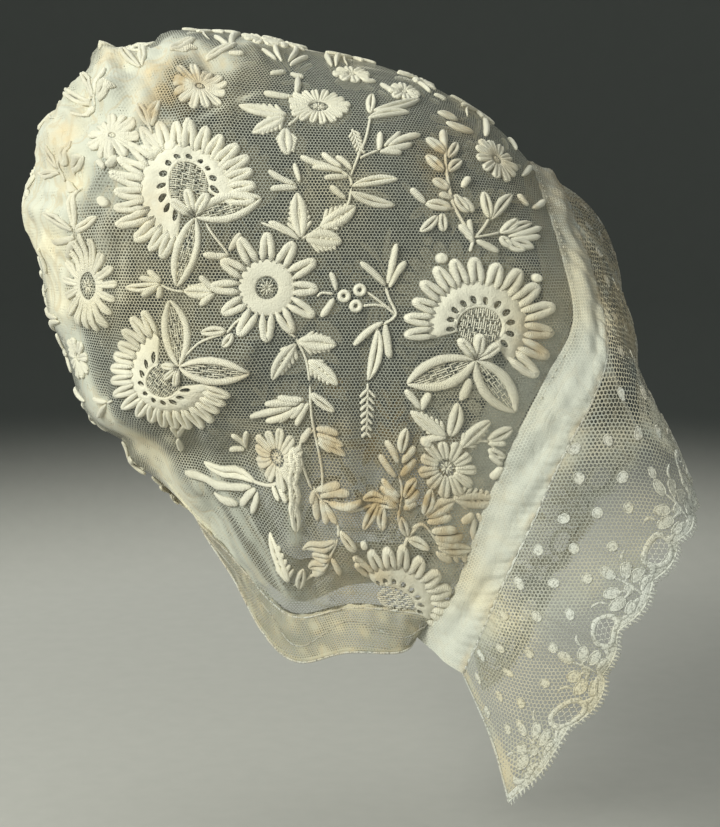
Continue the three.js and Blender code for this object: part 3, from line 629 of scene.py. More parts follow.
# Small flowers: x, y, radius in mm, petals, radius of the body and of the middle as shares, height as
# a share of the width
STARS = np.array([
    (267, 288, 20.5, 12, 0.5, 0.2, 1.0), (86, 286, 14.4, 17, 0.5, 0.24, 1.33),
    (447, 468, 10.8, 11, 0.46, 0.3, 1.0), (319, 105, 12.4, 16, 0.5, 0.3, 0.7),
    (200, 86, 10.6, 12, 0.34, 0.14, 1.0), (113, 136, 10.5, 11, 0.3, 0.1, 1.0),
    (497, 159, 10.5, 11, 0.4, 0.2, 1.0), (277, 459, 10.6, 11, 0.42, 0.26, 1.0),
    (262, 38, 8.0, 8, 0.4, 0.2, 1.0), (352, 74, 8.0, 8, 0.4, 0.2, 0.8), (78, 358, 9.0, 9, 0.4, 0.2, 1.0),
    (404, 92, 7.5, 8, 0.4, 0.2, 0.8),
], float)

# Large flowers: name, middle of the petals x, y, their radius in mm, first and last petal in degrees,
# petals; darned oval x, y, half width and half height in mm, slant of its threads, eyelets; foot of the
# calyx and its length in mm; open leaves: tip x, y, width and width of an edge in mm
LARGE_FLOWERS = (
    ("crest", 187, 195, 27.6, 6, 249, 20, (188, 186, 7.6, 9.0, 0, 12), (195, 217, 9.6),
     ((262, 198, 11.0, 2.9), (177, 287, 11.0, 2.9))),
    ("cheek", 477, 326, 27.4, -41, 190, 14, (480, 326, 8.2, 7.4, 80, 11), (475, 360, 9.6),
     ((407, 384, 13.0, 3.5), (516, 413, 13.5, 3.9))),
    ("back", 169, 373, 26.4, 117, 334, 19, (162, 382, 7.0, 6.6, 50, 10), (179, 367, 6.4),
     ((169, 300, 11.5, 3.0), (250, 374, 11.0, 2.9))),
    ("jaw", 396, 600, 21.6, -8, 156, 9, (396, 599, 7.4, 5.0, 35, 8), None, ()),
)

# Sprigs along the middle of the head: angle above +X, radius of a small flower in mm or 0 for leaves
MIDDLE_SPRIGS = ((48, 0.0), (62, 8.5), (78, 0.0), (93, 9.5), (108, 0.0), (124, 11.0), (142, 0.0), (158, 11.0),
                 (176, 0.0), (192, 10.0), (208, 0.0), (223, 9.0), (236, 0.0))


def stain_at(points):
    """Strength of the old stains at points of either side."""
    spots = np.array(STAINS, float)
    middle = seen(spots[:, 0], spots[:, 1])
    return np.clip(ridge_sum(to_right(points), middle, middle + (0.01, 0, 0), spots[:, 2], spots[:, 3]), 0, 1)


def tangent_frame(centre):
    """Right and up on the net, as the layout view has them."""
    out = unit(centre - HEAD_MIDDLE)
    up = unit(np.array([0.0, 0.0, 1.0]) - out * out[..., 2:3])
    return np.cross(up, out), up


# Eyelets of the large flowers: spacing in mm, place across the body as a share, and the body's width in mm
EYELET_SPACING, EYELET_ROW, BODY_WIDTH = 5.4, 0.27, 10.0
BODY_SHADE = 0.42


def polar_places(centre, radius, tall=1.0):
    """Function from a share of the radius and an angle to a place beside the centre."""
    right, up = tangent_frame(centre)
    return lambda r, a: centre + radius * np.asarray(r)[..., None] * (
        np.cos(a)[..., None] * right + tall * np.sin(a)[..., None] * up)


# Petals of small flowers: their width as a share of the way round the tips, and, in mm, the width from
# which they are loops
PETAL_SHARE, WIDE_PETAL = 0.6528, 5.0


def add_star(parts, centre, radius, petals, body, middle, turn0=0.0, tall=1.0):
    """Small flower: petals round a padded ring, with a wheel of spokes in its open middle.

    Wide petals are loops, narrow ones single lobes. tall is its height as a share of its width.
    """
    turn = turn0 + TURN * np.arange(petals) / petals
    polar = polar_places(centre, radius, tall)
    width = PETAL_SHARE * TURN * radius / petals
    wobble = 1 + 0.05 * np.sin(5 * turn + 3 * turn0)
    if width > WIDE_PETAL:
        add_loops(parts, polar(body * 0.76, turn), polar(0.97 * wobble, turn), 0.92 * width, 0.42 * width,
                  1.35, 0.95)
    else:
        add_lobes(parts, polar(body * 0.6, turn), polar(wobble, turn), 1.16 * width, 0.0, 1.4, GROOVED, 0.3,
                  0.25, 0.4)
    add_ring(parts, polar, (body + middle) / 2 + 0.02, radius * (body - middle) * 0.55, 0.6, 0.25)
    spokes = turn0 + TURN * np.arange(6) / 6
    for share, turn, wide, high, round_share in ((0.72, spokes, 0.7, 0.5, 0.2),
                                                 (1.0, spokes + 0.5, 0.3, 0.2, 0.1)):
        add_lobes(parts, polar(0.02, turn), polar(middle * share, turn), wide, 0.0, high, ROUNDED,
                  round_share, round_share, steps=5)


def add_ring(parts, polar, r, half_width, height, shade=0.5, start=0.0, end=TURN):
    """Padded ring or arc without stitch ridges; a whole ring's two ends lie over each other."""
    whole = end - start == TURN
    t = np.linspace(0, 1, 60)
    line = polar(np.full(60, r), start + (end - start + 0.25 * whole) * t)[None]
    ends = closed(t, 60 if whole else 14)
    padded_strips(parts, line, net_sides(line), half_width * ends, height * ends, ROUNDED, on_net, shade)
    parts.uv[-1] *= 0


def add_darning(parts, centre, along, across, half_long, half_wide, pitch, width=0.5):
    """Darned filling of an oval: close threads along it, in broken runs, and a few across."""
    for a, b, la, lb, gap in ((along, across, half_long, half_wide, pitch),
                              (across, along, half_wide, half_long, 2.6 * pitch)):
        offset = np.arange(-lb + gap / 2, lb, gap)
        reach = la * np.sqrt(np.clip(1 - (offset / lb) ** 2, 0.02, 1))
        first, second = (np.mod(np.arange(len(offset)) * share, 1) for share in (0.618, 0.414))
        for low, high in ((-1.0, -0.15 - 0.6 * first), (0.05 - 0.6 * first, 0.1 + 0.5 * second),
                          (0.25 + 0.5 * second, 1.0 + 0 * first)):
            start = centre + offset[:, None] * b + (reach * low)[:, None] * a
            end = centre + offset[:, None] * b + (reach * high)[:, None] * a
            add_lobes(parts, start, end, width, 0.0, 0.35, ROUNDED, 0.05, 0.05, steps=5, lift=0.05)


def add_open_leaf(parts, foot, tip, width, stroke):
    """Leaf with two thick padded edges, pointed at the tip, and a darned filling."""
    length = np.linalg.norm(tip - foot)
    bow = 0.5 * (width - stroke) / length
    for side in (1, -1):
        add_lobes(parts, foot[None], tip[None], stroke, side * bow, 1.5, ROUNDED, 0.5, 0.45, steps=14)
    middle = (foot + tip) / 2
    along = unit(tip - foot)
    across = unit(np.cross(middle - HEAD_MIDDLE, along))
    add_darning(parts, middle, along, across, 0.42 * length, 0.5 * width - 0.8 * stroke, 0.85, 0.4)


def flower_places(row):
    """Places of a large flower: polar about its petals, and about its darned oval."""
    _, x, y, radius, _, _, _, oval, _, _ = row
    return polar_places(seen(x, y), radius), polar_places(seen(oval[0], oval[1]), oval[2], oval[3] / oval[2])


def body_line(row, t, across):
    """Points of a flower's body: a straight blend from the darned oval to the foot of the petals.

    The outer edge bulges a little at each petal.
    """
    first, last, petals = row[4:7]
    polar, oval = flower_places(row)
    angle = np.radians(first - 9 + (last - first + 18) * t)
    phase = (np.degrees(angle) - first) / (last - first) * (petals - 1)
    outer = polar(0.645 + 0.015 * np.cos(TURN * phase), angle)
    inner = oval(np.full(t.shape, 1.0), angle)
    return inner + across[..., None] * (outer - inner)


def eyelet_places(row):
    """Middles of a flower's eyelets."""
    t = (np.arange(row[7][5]) + 0.5) / row[7][5]
    return body_line(row, t, np.full(t.shape, EYELET_ROW))


def large_flower(parts, row):
    """Large flower: looped petals round a pierced body, a darned oval, three calyx lobes, open leaves."""
    _, x, _, radius, first, last, petals, oval, calyx, leaves = row
    polar, oval_polar = flower_places(row)
    turn = np.radians(np.linspace(first, last, petals))
    wobble = 0.98 + 0.035 * np.sin(4.3 * turn + x) + 0.02 * np.sin(9 * turn)
    width = 2.4 + 0.5 * radius * (turn[1] - turn[0])
    tips = polar(wobble, turn + 0.02 * np.sin(5 * turn))
    add_loops(parts, polar(0.5, turn), tips, width, 0.46 * width, 1.7, 0.9, 0.55 + 0.15 * np.sin(7 * turn))
    add_body(parts, row)
    add_ring(parts, oval_polar, 1.06, 0.75, 0.85, start=np.radians(first), end=np.radians(last))
    middle = seen(*oval[:2])
    right, up = tangent_frame(middle)
    tilt = np.radians(oval[4])
    along, across = np.cos(tilt) * right + np.sin(tilt) * up, -np.sin(tilt) * right + np.cos(tilt) * up
    add_darning(parts, middle, along, across, oval[2], oval[3], 0.8, 0.38)
    if calyx:
        foot = seen(*calyx[:2])
        ahead = unit(middle - foot)
        beside = unit(np.cross(ahead, foot - HEAD_MIDDLE))
        fan = np.radians([-44, 0, 44])[:, None]
        tips = foot + calyx[2] * (np.cos(fan) * ahead + np.sin(fan) * beside)
        add_loops(parts, np.tile(foot, (3, 1)), tips, 0.52 * calyx[2], 0.23 * calyx[2], 1.7, 0.3, lift=0.9)
        for tip_x, tip_y, wide, stroke in leaves:
            add_open_leaf(parts, foot, seen(tip_x, tip_y), wide, stroke)


def add_body(parts, row):
    """Dense flat ring between the darned oval and the petals, pierced by a row of eyelets.

    It is domed across and sinks at each eyelet. uv is the place along the row, in eyelets, and the
    share across.
    """
    eyelets = row[7][5]
    rows, columns = 13, 14 * eyelets + 1
    t, across = np.meshgrid(np.linspace(0, 1, columns), np.linspace(0, 1, rows))
    spots = body_line(row, t, across)
    along = t * eyelets
    away = np.hypot((np.mod(along, 1) - 0.5) * EYELET_SPACING, (across - EYELET_ROW) * BODY_WIDTH)
    dome = np.sqrt(np.clip(1 - (2 * across - 1) ** 6, 0, 1)) * np.clip((1.1 - across) / 0.4, 0.3, 1)
    ends = np.sqrt(closed(t, 2.2 * eyelets))
    seed = 0.08 * np.sin(7.3 * along + 9 * across) * np.sin(17 * across + 5.1 * along)
    high = (1.15 + seed) * dome * ends * (1 - 0.7 * np.exp(-((away / 1.6) ** 2)))
    points = np.concatenate([on_net(spots, high + 0.12), on_net(spots, -0.15)[:, ::-1]], 1)
    parts.add(points, [shell_faces(rows, columns)], both_faces(np.stack([along, across], -1)), BODY_SHADE, 1)


# Materials


class Signal:
    """What a socket gives. Sums, products and the like of signals are math nodes of its tree."""

    def __init__(self, tree, socket):
        self.tree, self.socket = tree, socket

    def math(self, operation, *others):
        return signal(self.tree, "ShaderNodeMath", (self, *others), operation=operation)

    def __add__(self, other):
        return self.math("ADD", other)

    def __sub__(self, other):
        return self.math("SUBTRACT", other)

    def __rsub__(self, other):
        return signal(self.tree, "ShaderNodeMath", (other, self), operation="SUBTRACT")

    def __mul__(self, other):
        return self.math("MULTIPLY", other)

    def __truediv__(self, other):
        return self.math("DIVIDE", other)

    def __abs__(self):
        return self.math("ABSOLUTE")

    __radd__, __rmul__ = __add__, __mul__

    def step(self, low, high):
        """Smooth step from 0 at low to 1 at high."""
        return signal(self.tree, "ShaderNodeMapRange", (self, low, high), interpolation_type="SMOOTHSTEP")

    def to(self, socket):
        self.tree.links.new(self.socket, socket)


def node(tree, kind, inputs=(), **settings):
    """A node with its settings; inputs are values or signals, in the node's order or by name."""
    made = tree.nodes.new(kind)
    for key, value in settings.items():
        setattr(made, key, value)
    for key, value in (inputs.items() if isinstance(inputs, dict) else enumerate(inputs)):
        if isinstance(value, Signal):
            value.to(made.inputs[key])
        elif value is not None:
            made.inputs[key].default_value = value
    return made


def signal(tree, kind, inputs=(), output=0, **settings):
    """One output of a new node."""
    return Signal(tree, node(tree, kind, inputs, **settings).outputs[output])


def vmath(tree, operation, *inputs):
    output = "Value" if operation == "DOT_PRODUCT" else "Vector"
    return signal(tree, "ShaderNodeVectorMath", inputs, output, operation=operation)


def split(tree, vector):
    return [Signal(tree, socket) for socket in node(tree, "ShaderNodeSeparateXYZ", (vector,)).outputs]


def noise(tree, place, scale, detail, output=0, **more):
    inputs = {"Vector": place, "Scale": scale, "Detail": detail, **more}
    return signal(tree, "ShaderNodeTexNoise", inputs, output)


def attribute(tree, name):
    return signal(tree, "ShaderNodeAttribute", output="Fac", attribute_name=name)


def object_place(tree):
    return signal(tree, "ShaderNodeTexCoord", output="Object")


def cloth_place(tree):
    return signal(tree, "ShaderNodeUVMap", uv_map="cloth")


def mix_colour(tree, factor, a, b, blend="MIX"):
    return signal(tree, "ShaderNodeMix", {0: factor, 6: a, 7: b}, 2, data_type="RGBA", blend_type=blend)


def toned(tree, colour, tone):
    """The colour times a tone."""
    grey = signal(tree, "ShaderNodeCombineColor", (tone, tone, tone))
    return mix_colour(tree, 1.0, colour, grey, "MULTIPLY")


def make_group(make, name, inputs, outputs):
    """Node group. inputs are names with start values, None for a place; make gives its outputs."""
    group = bpy.data.node_groups.new(name, "ShaderNodeTree")
    for key, value in inputs.items():
        kind = "Vector" if value is None else "Color" if isinstance(value, tuple) else "Float"
        socket = group.interface.new_socket(key, in_out="INPUT", socket_type="NodeSocket" + kind)
        if value is not None:
            socket.default_value = value
    for key in outputs:
        kind = "Color" if key == "Colour" else "Float"
        group.interface.new_socket(key, in_out="OUTPUT", socket_type="NodeSocket" + kind)
    given = group.nodes.new("NodeGroupInput").outputs
    node(group, "NodeGroupOutput", make(group, *(Signal(group, given[key]) for key in inputs)))


def hexagons(tree, place, pitch, thread, wander):
    """Hexagonal net: the lesser of two staggered hexagon distances, cut at the thread's half width."""
    place = vmath(tree, "DIVIDE", place, signal(tree, "ShaderNodeCombineXYZ", (pitch, pitch, 1.0)))
    shift = vmath(tree, "SUBTRACT", noise(tree, place, 0.35, 1.0, "Color"), (0.5, 0.5, 0.5))
    place = vmath(tree, "ADD", place, vmath(tree, "SCALE", shift, None, None, wander))
    root = 3 ** 0.5
    distances = []
    for offset in ((0.0, 0.0, 0.0), (0.5, root / 2, 0.0)):
        cell = vmath(tree, "DIVIDE", vmath(tree, "ADD", place, offset), (1.0, root, 1.0))
        cell = vmath(tree, "SUBTRACT", vmath(tree, "FRACTION", cell), (0.5, 0.5, 0.5))
        cell = vmath(tree, "ABSOLUTE", vmath(tree, "MULTIPLY", cell, (1.0, root, 1.0)))
        slant = vmath(tree, "DOT_PRODUCT", cell, (0.5, root / 2, 0.0))
        distances.append(split(tree, cell)[0].math("MAXIMUM", slant))
    edge = 0.5 - distances[0].math("MINIMUM", distances[1])
    height = 1.0 - edge / (thread * 0.5 / pitch)
    return height.step(-0.15, 0.15), height.math("MAXIMUM", 0.0)


def plain_weave(tree, place, pitch):
    """Plain weave: crossed sine waves that take turns on top."""
    turns = signal(tree, "ShaderNodeMath", (TURN, pitch), operation="DIVIDE")
    u, v, _ = split(tree, vmath(tree, "SCALE", place, None, None, turns))
    a, b = (abs((way * 0.5).math("SINE")) for way in (u, v))
    height = a.math("MAXIMUM", b) + u.math("SINE") * v.math("SINE") * 0.3
    return height, a.math("MINIMUM", b).step(0.35, 0.0)


def aged_cotton(tree, fresh, yellowed, stain_and_shade_colour, stain_and_shade, shade):
    """Old cotton: clouds of yellowing over the fresh colour, tan where the stain value is, and a tone from
    the shade value; over the forehead the tan and the darker tone are painted shade.
    """
    place = object_place(tree)
    fine = noise(tree, place, 160.0, 3.0)
    colour = mix_colour(tree, noise(tree, place, 22.0, 4.0).step(0.42, 0.78), fresh, yellowed)
    colour = mix_colour(tree, stain_and_shade * fine.step(0.25, 0.62), colour, stain_and_shade_colour)
    return (toned(tree, colour, 0.8 + (fine - 0.5) * 0.25 + shade * 0.32),)


def satin_stitch(tree, place, pitch):
    """Satin stitch: fine ridges across the shape, with a slow wander, from its own uv in mm."""
    u, v, _ = split(tree, place)
    along = u + v * 0.25 + noise(tree, place, 0.8, 2.0) * 0.5
    return ((along * TURN / pitch).math("SINE"),)


def crumpled_cloth(tree, scale):
    """Crumpled cloth: two noises, drawn out along z and folded about their middle value."""
    place = vmath(tree, "MULTIPLY", object_place(tree), (1.0, 1.0, 0.5))
    wide, fine = (abs(noise(tree, place, scale * finer, 2.0, Distortion=0.8) - 0.5) for finer in (1.0, 2.2))
    return wide + fine * 0.45, wide.math("MINIMUM", fine * 1.5).step(0.035, 0.0)


# Node groups: function, name, inputs, outputs
GROUPS = (
    (hexagons, "Hexagonal net", {"Place": None, "Pitch": 1.35, "Thread": 0.25, "Wander": 0.12},
     ("Mask", "Height")),
    (plain_weave, "Plain weave", {"Place": None, "Pitch": 0.5}, ("Height", "Gap")),
    (aged_cotton, "Aged cotton", {"Fresh": (0.8, 0.78, 0.7, 1), "Yellowed": (0.7, 0.6, 0.4, 1),
                                  "Stain and shade colour": (0.55, 0.36, 0.16, 1), "Stain and shade": 0.0, "Shade": 0.5}, ("Colour",)),
    (satin_stitch, "Satin stitch", {"Place": None, "Pitch": 0.5}, ("Height",)),
    (crumpled_cloth, "Crumpled cloth", {"Scale": 45.0}, ("Height", "Crease")),
)


def use_group(tree, name, *inputs):
    made = node(tree, "ShaderNodeGroup", inputs, node_tree=bpy.data.node_groups[name])
    return [Signal(tree, socket) for socket in made.outputs]


def colour4(rgb):
    return (*rgb, 1.0)


def cotton(name, fresh, roughness, sheen):
    """Principled cotton whose colour comes from the ageing group; returns its tree and shader."""
    made = bpy.data.materials.new(name)
    made.use_nodes = True
    tree = made.node_tree
    shader = tree.nodes["Principled BSDF"]
    shader.inputs["Roughness"].default_value = roughness
    shader.inputs["Sheen Weight"].default_value = sheen
    shader.inputs["Sheen Roughness"].default_value = 0.5
    shader.inputs["Specular IOR Level"].default_value = 0.25
    looks = bpy.context.scene.net_cap_colours
    aged = use_group(tree, "Aged cotton", colour4(fresh), colour4(looks.yellowed), colour4(looks.stain_and_shade),
                     attribute(tree, "stain_and_shade"), attribute(tree, "shade"))
    aged[0].to(shader.inputs["Base Color"])
    return tree, shader


def add_bump(shader, height, distance, strength):
    """Bump from a height; distance is in mm."""
    inputs = {"Height": height, "Distance": distance * MM, "Strength": strength}
    signal(height.tree, "ShaderNodeBump", inputs).to(shader.inputs["Normal"])


def add_crumple(tree, shader, amount, scale, depth):
    """Height of crumples in the given amount; along their creases the colour is mixed towards the stain
    colour, a painted shade.
    """
    height, crease = use_group(tree, "Crumpled cloth", scale)
    colour = Signal(tree, shader.inputs["Base Color"].links[0].from_socket)
    stain_and_shade = colour4(bpy.context.scene.net_cap_colours.stain_and_shade)
    # Painted shade: the crease lines are darkened with the stain colour.
    mix_colour(tree, crease * amount * depth, colour, stain_and_shade).to(shader.inputs["Base Color"])
    return height * amount * 26.0


NET_SHADOW = 0.93  # least light that the doubled, dusty crown net holds back from its inside


def make_materials():
    """All cloths of the cap, each once."""
    if "Crown net" in bpy.data.materials:
        return
    for group in GROUPS:
        make_group(*group)
    sizes, looks = bpy.context.scene.net_cap_sizes, bpy.context.scene.net_cap_colours
    mesh, thread = sizes.net_pitch / MM, sizes.net_thread / MM

    for name, fresh, pitch, least, filled in (
            ("Crown net", looks.net, mesh, thread, 0.5),
            ("Lace net", looks.lace, sizes.lace_pitch / MM, sizes.lace_thread / MM, 0.6),
            ("Hem net", looks.hem, 0.85 * mesh, 1.2 * thread, 0.5)):
        tree, shader = cotton(name, fresh, 0.9, 0.15)
        cloud = noise(tree, object_place(tree), 60.0, 3.0)
        milky = attribute(tree, "milky") * (0.55 + cloud * 0.8)
        wide = (least + milky * (filled * pitch)).math("MAXIMUM", 0.01)
        solid, relief = use_group(tree, "Hexagonal net", cloth_place(tree), pitch, wide, 0.2)
        doubled = vmath(tree, "MULTIPLY", cloth_place(tree), (1.13, 0.86, 1.0))
        under = use_group(tree, "Hexagonal net", doubled, pitch, wide, 0.6)[0]
        solid = solid.math("MAXIMUM", under * milky.step(0.2, 0.6))
        if name == "Crown net":
            shadow = signal(tree, "ShaderNodeLightPath", output="Is Shadow Ray")
            solid = solid.math("MAXIMUM", shadow * NET_SHADOW)
        solid.to(shader.inputs["Alpha"])
        folds = add_crumple(tree, shader, milky.math("MAXIMUM", 0.0), 42.0, 0.4)
        add_bump(shader, relief + folds, 0.15, 0.6)

    tree, shader = cotton("Muslin", looks.band, 0.9, 0.2)
    height, gap = use_group(tree, "Plain weave", cloth_place(tree), 0.8)
    net = use_group(tree, "Hexagonal net", cloth_place(tree), mesh, thread, 0.2)[0]
    cloud = noise(tree, object_place(tree), 75.0, 4.0)
    cloth = 1.0 - attribute(tree, "sheer") * (0.45 + cloud) - gap * (cloud * 0.6)
    cloth.math("MAXIMUM", net).to(shader.inputs["Alpha"])
    add_bump(shader, height + add_crumple(tree, shader, 0.8, 60.0, 0.12), 0.12, 0.8)

    tree, shader = cotton("Satin stitch cotton", looks.embroidery, 0.7, 0.3)
    stitch = use_group(tree, "Satin stitch", cloth_place(tree), 0.62)[0]
    add_bump(shader, stitch * 0.5 + noise(tree, object_place(tree), 1400.0, 3.0) * 2.6, 0.16, 0.9)

    tree, shader = cotton("Pierced satin stitch", looks.embroidery, 0.75, 0.3)
    add_bump(shader, noise(tree, object_place(tree), 1400.0, 3.0), 0.35, 0.9)
    along, across, _ = split(tree, cloth_place(tree))
    near = (along.math("FRACT") - 0.5) * EYELET_SPACING
    out = (across - EYELET_ROW) * (0.8 * BODY_WIDTH)
    uneven = noise(tree, object_place(tree), 240.0, 2.0)
    away = (near * near + out * out).math("SQRT") + (uneven - 0.5) * 1.3
    away.step(1.3, 1.45).to(shader.inputs["Alpha"])

    tree, shader = cotton("Lace work", looks.lace_work, 0.9, 0.15)
    height, gap = use_group(tree, "Plain weave", cloth_place(tree), 0.9)
    fluff = noise(tree, object_place(tree), 900.0, 2.0)
    ((1.0 - gap * 0.4) * (1.0 - fluff.step(0.5, 0.36) * 0.6)).to(shader.inputs["Alpha"])
    add_bump(shader, height, 0.12, 0.8)


def material(name):
    make_materials()
    return bpy.data.materials[name]


# Crown net


def crown_rim(face_steps, nape_steps):
    """Rim of the crown: face edge from the left jaw over the head, then back along the nape."""
    share = CROWN_CORNER / (len(FACE_SECTIONS) - 1)
    t = 0.5 + 0.5 * share * np.linspace(-1, 1, face_steps, endpoint=False)
    face = line_through(over_head(face_edge_rows()), t)
    nape = line_through(over_head(nape_top_rows()), 1 - np.linspace(0, 1, nape_steps, endpoint=False))
    return np.vstack([face, nape])


def face_edge_rows():
    rows = crown_edge(FACE_SECTIONS[:, 0], FACE_SECTIONS[:, 1])
    top = unit(np.array([FACE_SECTIONS[0, 0], 0.0, FACE_SECTIONS[0, 1]]) - HEAD_MIDDLE * (1, 0, 1))
    rows[0] = from_middle(top, crown_reach(top))
    return rows


def nape_top_rows():
    rows = crown_edge(NAPE_SECTIONS[:, 0], NAPE_SECTIONS[:, 1])[::-1]
    rows[0, 1] = 0
    return np.vstack([rows, face_edge_rows()[CROWN_CORNER]])


def nape_bottom_rows():
    return np.vstack([NAPE_SECTIONS[::-1, 2:5], face_edge_rows()[-1]])


CUT_RADIUS = 2.5  # hole in the net under an eyelet


def make_crown():
    """Net crown: rays turn from the pole to the rim, each reaching to the net's own surface.

    Near the rim the reach slides over to the rim's own. The cloth's uv is the length from the side of
    the head, along the side view's direction, in mm. The net is cut away under the eyelets.
    """
    rings = 168
    ray = crown_rim(face_steps=250, nape_steps=194) - HEAD_MIDDLE
    edge = unit(ray)
    pole = np.array([np.cos(CROWN_POLE_ANGLE), 0, np.sin(CROWN_POLE_ANGLE)])
    spread = np.arccos(edge @ pole)
    part = np.linspace(0, 1, rings + 1)[1:, None]
    turn = part * spread
    d = unit(np.sin(spread - turn)[..., None] * pole + np.sin(turn)[..., None] * edge)
    own = np.linalg.norm(ray, axis=-1) - NET_DEPTH - net_reach(edge)
    rows = from_middle(d, net_reach(d) + own * part ** 10)
    points = np.vstack([from_middle(pole, net_reach(pole)), rows.reshape(-1, 3)])
    out = points - HEAD_MIDDLE
    away = np.linalg.norm(out, axis=-1)
    from_side = np.arccos(np.clip(np.abs(out[:, 1]) / away, 0, 1))
    uv = (0.5 * (HALF_WIDTH + away) * from_side)[:, None] * unit(out[:, [0, 2]])
    ring = np.arange(len(ray)) + 1
    cap = np.stack([np.roll(ring, -1), ring, 0 * ring], -1)
    quads = grid_faces(rings, len(ray), wrap=True)[:, ::-1] + 1
    centre = to_right(points[quads].mean(1))
    cut = np.zeros(len(quads), bool)
    for row in LARGE_FLOWERS:
        for hole in eyelet_places(row):
            cut |= np.linalg.norm(centre - hole, axis=-1) < CUT_RADIUS
    milky = milky_at(points)
    return new_piece("crown_net", points, [quads[~cut], cap], ["Crown net"], uv, {
        "stain_and_shade": 0.75 * stain_at(points), "shade": 0.1 + 1.2 * milky ** 2, "milky": milky})


def seam_normal(line):
    """Way out from the head along a seam, square to the seam's run."""
    run = unit(np.gradient(line, axis=0))
    out = unit(line - HEAD_MIDDLE)
    return unit(out - np.sum(out * run, 1, keepdims=True) * run)


# Strips: band, lace and hem


def band_points(s, across):
    """Band: from the crown's edge to the lace seam, puffed up by a sine in between."""
    edge = line_through(over_head(face_edge_rows()), s)
    normal = seam_normal(edge)
    seam = line_through(over_head(FACE_SECTIONS[:, 2:5]), s)
    a = across[..., None]
    return ((edge - normal * NET_DEPTH)[:, None] * (1 - a) + seam[:, None] * a
            + 1.2 * np.sin(np.pi * a) * normal[:, None])


def grid_normals(points):
    return unit(np.cross(np.gradient(points, axis=0), np.gradient(points, axis=1)))


def arc_uv(points):
    """Cloth coordinates of a grid in mm: length along its middle row, and length across each station."""
    along = lengths(points[:, points.shape[1] // 2], 0)
    return np.stack(np.broadcast_arrays(along[:, None], lengths(points, 1)), -1)


def shell_faces(rows, columns):
    """Quads of a flattened tube: rows of a top and, backwards, an underside, with both ends closed."""
    quads = grid_faces(rows, 2 * columns, wrap=True)
    index = np.arange(rows * 2 * columns).reshape(rows, 2, columns)
    for row, flip in ((0, True), (rows - 1, False)):
        a, b = index[row, 0], index[row, 1][::-1]
        lid = np.stack([a[:-1], a[1:], b[1:], b[:-1]], -1)
        quads = np.vstack([quads, lid[:, ::-1] if flip else lid])
    return quads


def folded_wall(points, folds, across, least):
    """Both faces of a thin wall about a grid that is moved by its folds, and the wall's quads.

    Across, the half wall is half the root of 4 a (1 - a) + 0.2, or of least where that is more, in mm.
    """
    points = points + grid_normals(points) * folds[..., None]
    half = 0.5 * np.sqrt(np.clip(4 * across * (1 - across) + 0.2, least, 1))
    shift = grid_normals(points) * half[..., None]
    both = np.concatenate([points + shift, (points - shift)[:, ::-1]], 1)
    return both.reshape(-1, 3), [shell_faces(*points.shape[:2])]


def make_band():
    """Folded muslin band: the band strip with soft folds along it and puckers at both seams.

    It is sheer over the forehead and towards the crown, where the net runs on over it. Over the forehead it
    is also painted darker and tan, as shade.
    """
    s, a = np.meshgrid(np.linspace(0, 1, 800), np.linspace(0, 1.04, 27), indexing="ij")
    points = band_points(s[:, 0], a)
    uv = arc_uv(points)
    u = uv[..., 0]
    bulge = np.sin(np.pi * a)
    held = np.clip((1.04 - a) / 0.14, 0, 1)
    folds = (held * a ** 3 * (0.7 * np.sin(0.62 * u + 1.6 * np.sin(0.11 * u)) + 0.3 * np.sin(1.7 * u + 2 * a))
             + (1 - a) ** 3 * 0.3 * np.sin(0.8 * u + 1.4 * np.sin(0.11 * u))
             + 0.75 * np.sin(0.15 * u + 5 * a + 1.3 * np.sin(0.045 * u)) * bulge
             + 0.55 * np.sin(10 * a + 0.05 * u + 1.4 * np.sin(0.03 * u)) * bulge
             + 0.3 * np.sin(0.5 * u - 9 * a + np.sin(0.2 * u)) * bulge)
    both, quads = folded_wall(points, folds, a, 0.05)
    brow = np.exp(-((s - 0.5) / 0.17) ** 4)
    sheer = np.clip(0.4 * np.clip(1 - a / (0.3 + 0.14 * np.sin(0.13 * u)), 0, 1) + 0.5 * brow, 0, 0.8)
    sheer = sheer * (1 - 0.5 * np.clip((0.12 - a) / 0.08, 0, 1))
    # Painted shade: the band is darker (shade below) and tinted tan over the forehead; the patchy tan along
    # the lace seam is stain.
    tan = np.clip(0.5 * brow + 0.5 * np.clip((a - 0.86) / 0.12, 0, 1) * (0.5 + 0.5 * np.sin(0.3 * u)), 0, 0.8)
    piece = new_piece("muslin_band", both, quads, ["Muslin"], both_faces(uv), {
        "stain_and_shade": np.maximum(0.35 * stain_at(both), both_faces(tan).reshape(-1)),
        "shade": both_faces(0.62 - 0.62 * brow), "sheer": both_faces(sheer)})
    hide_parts("front_band")
    return piece


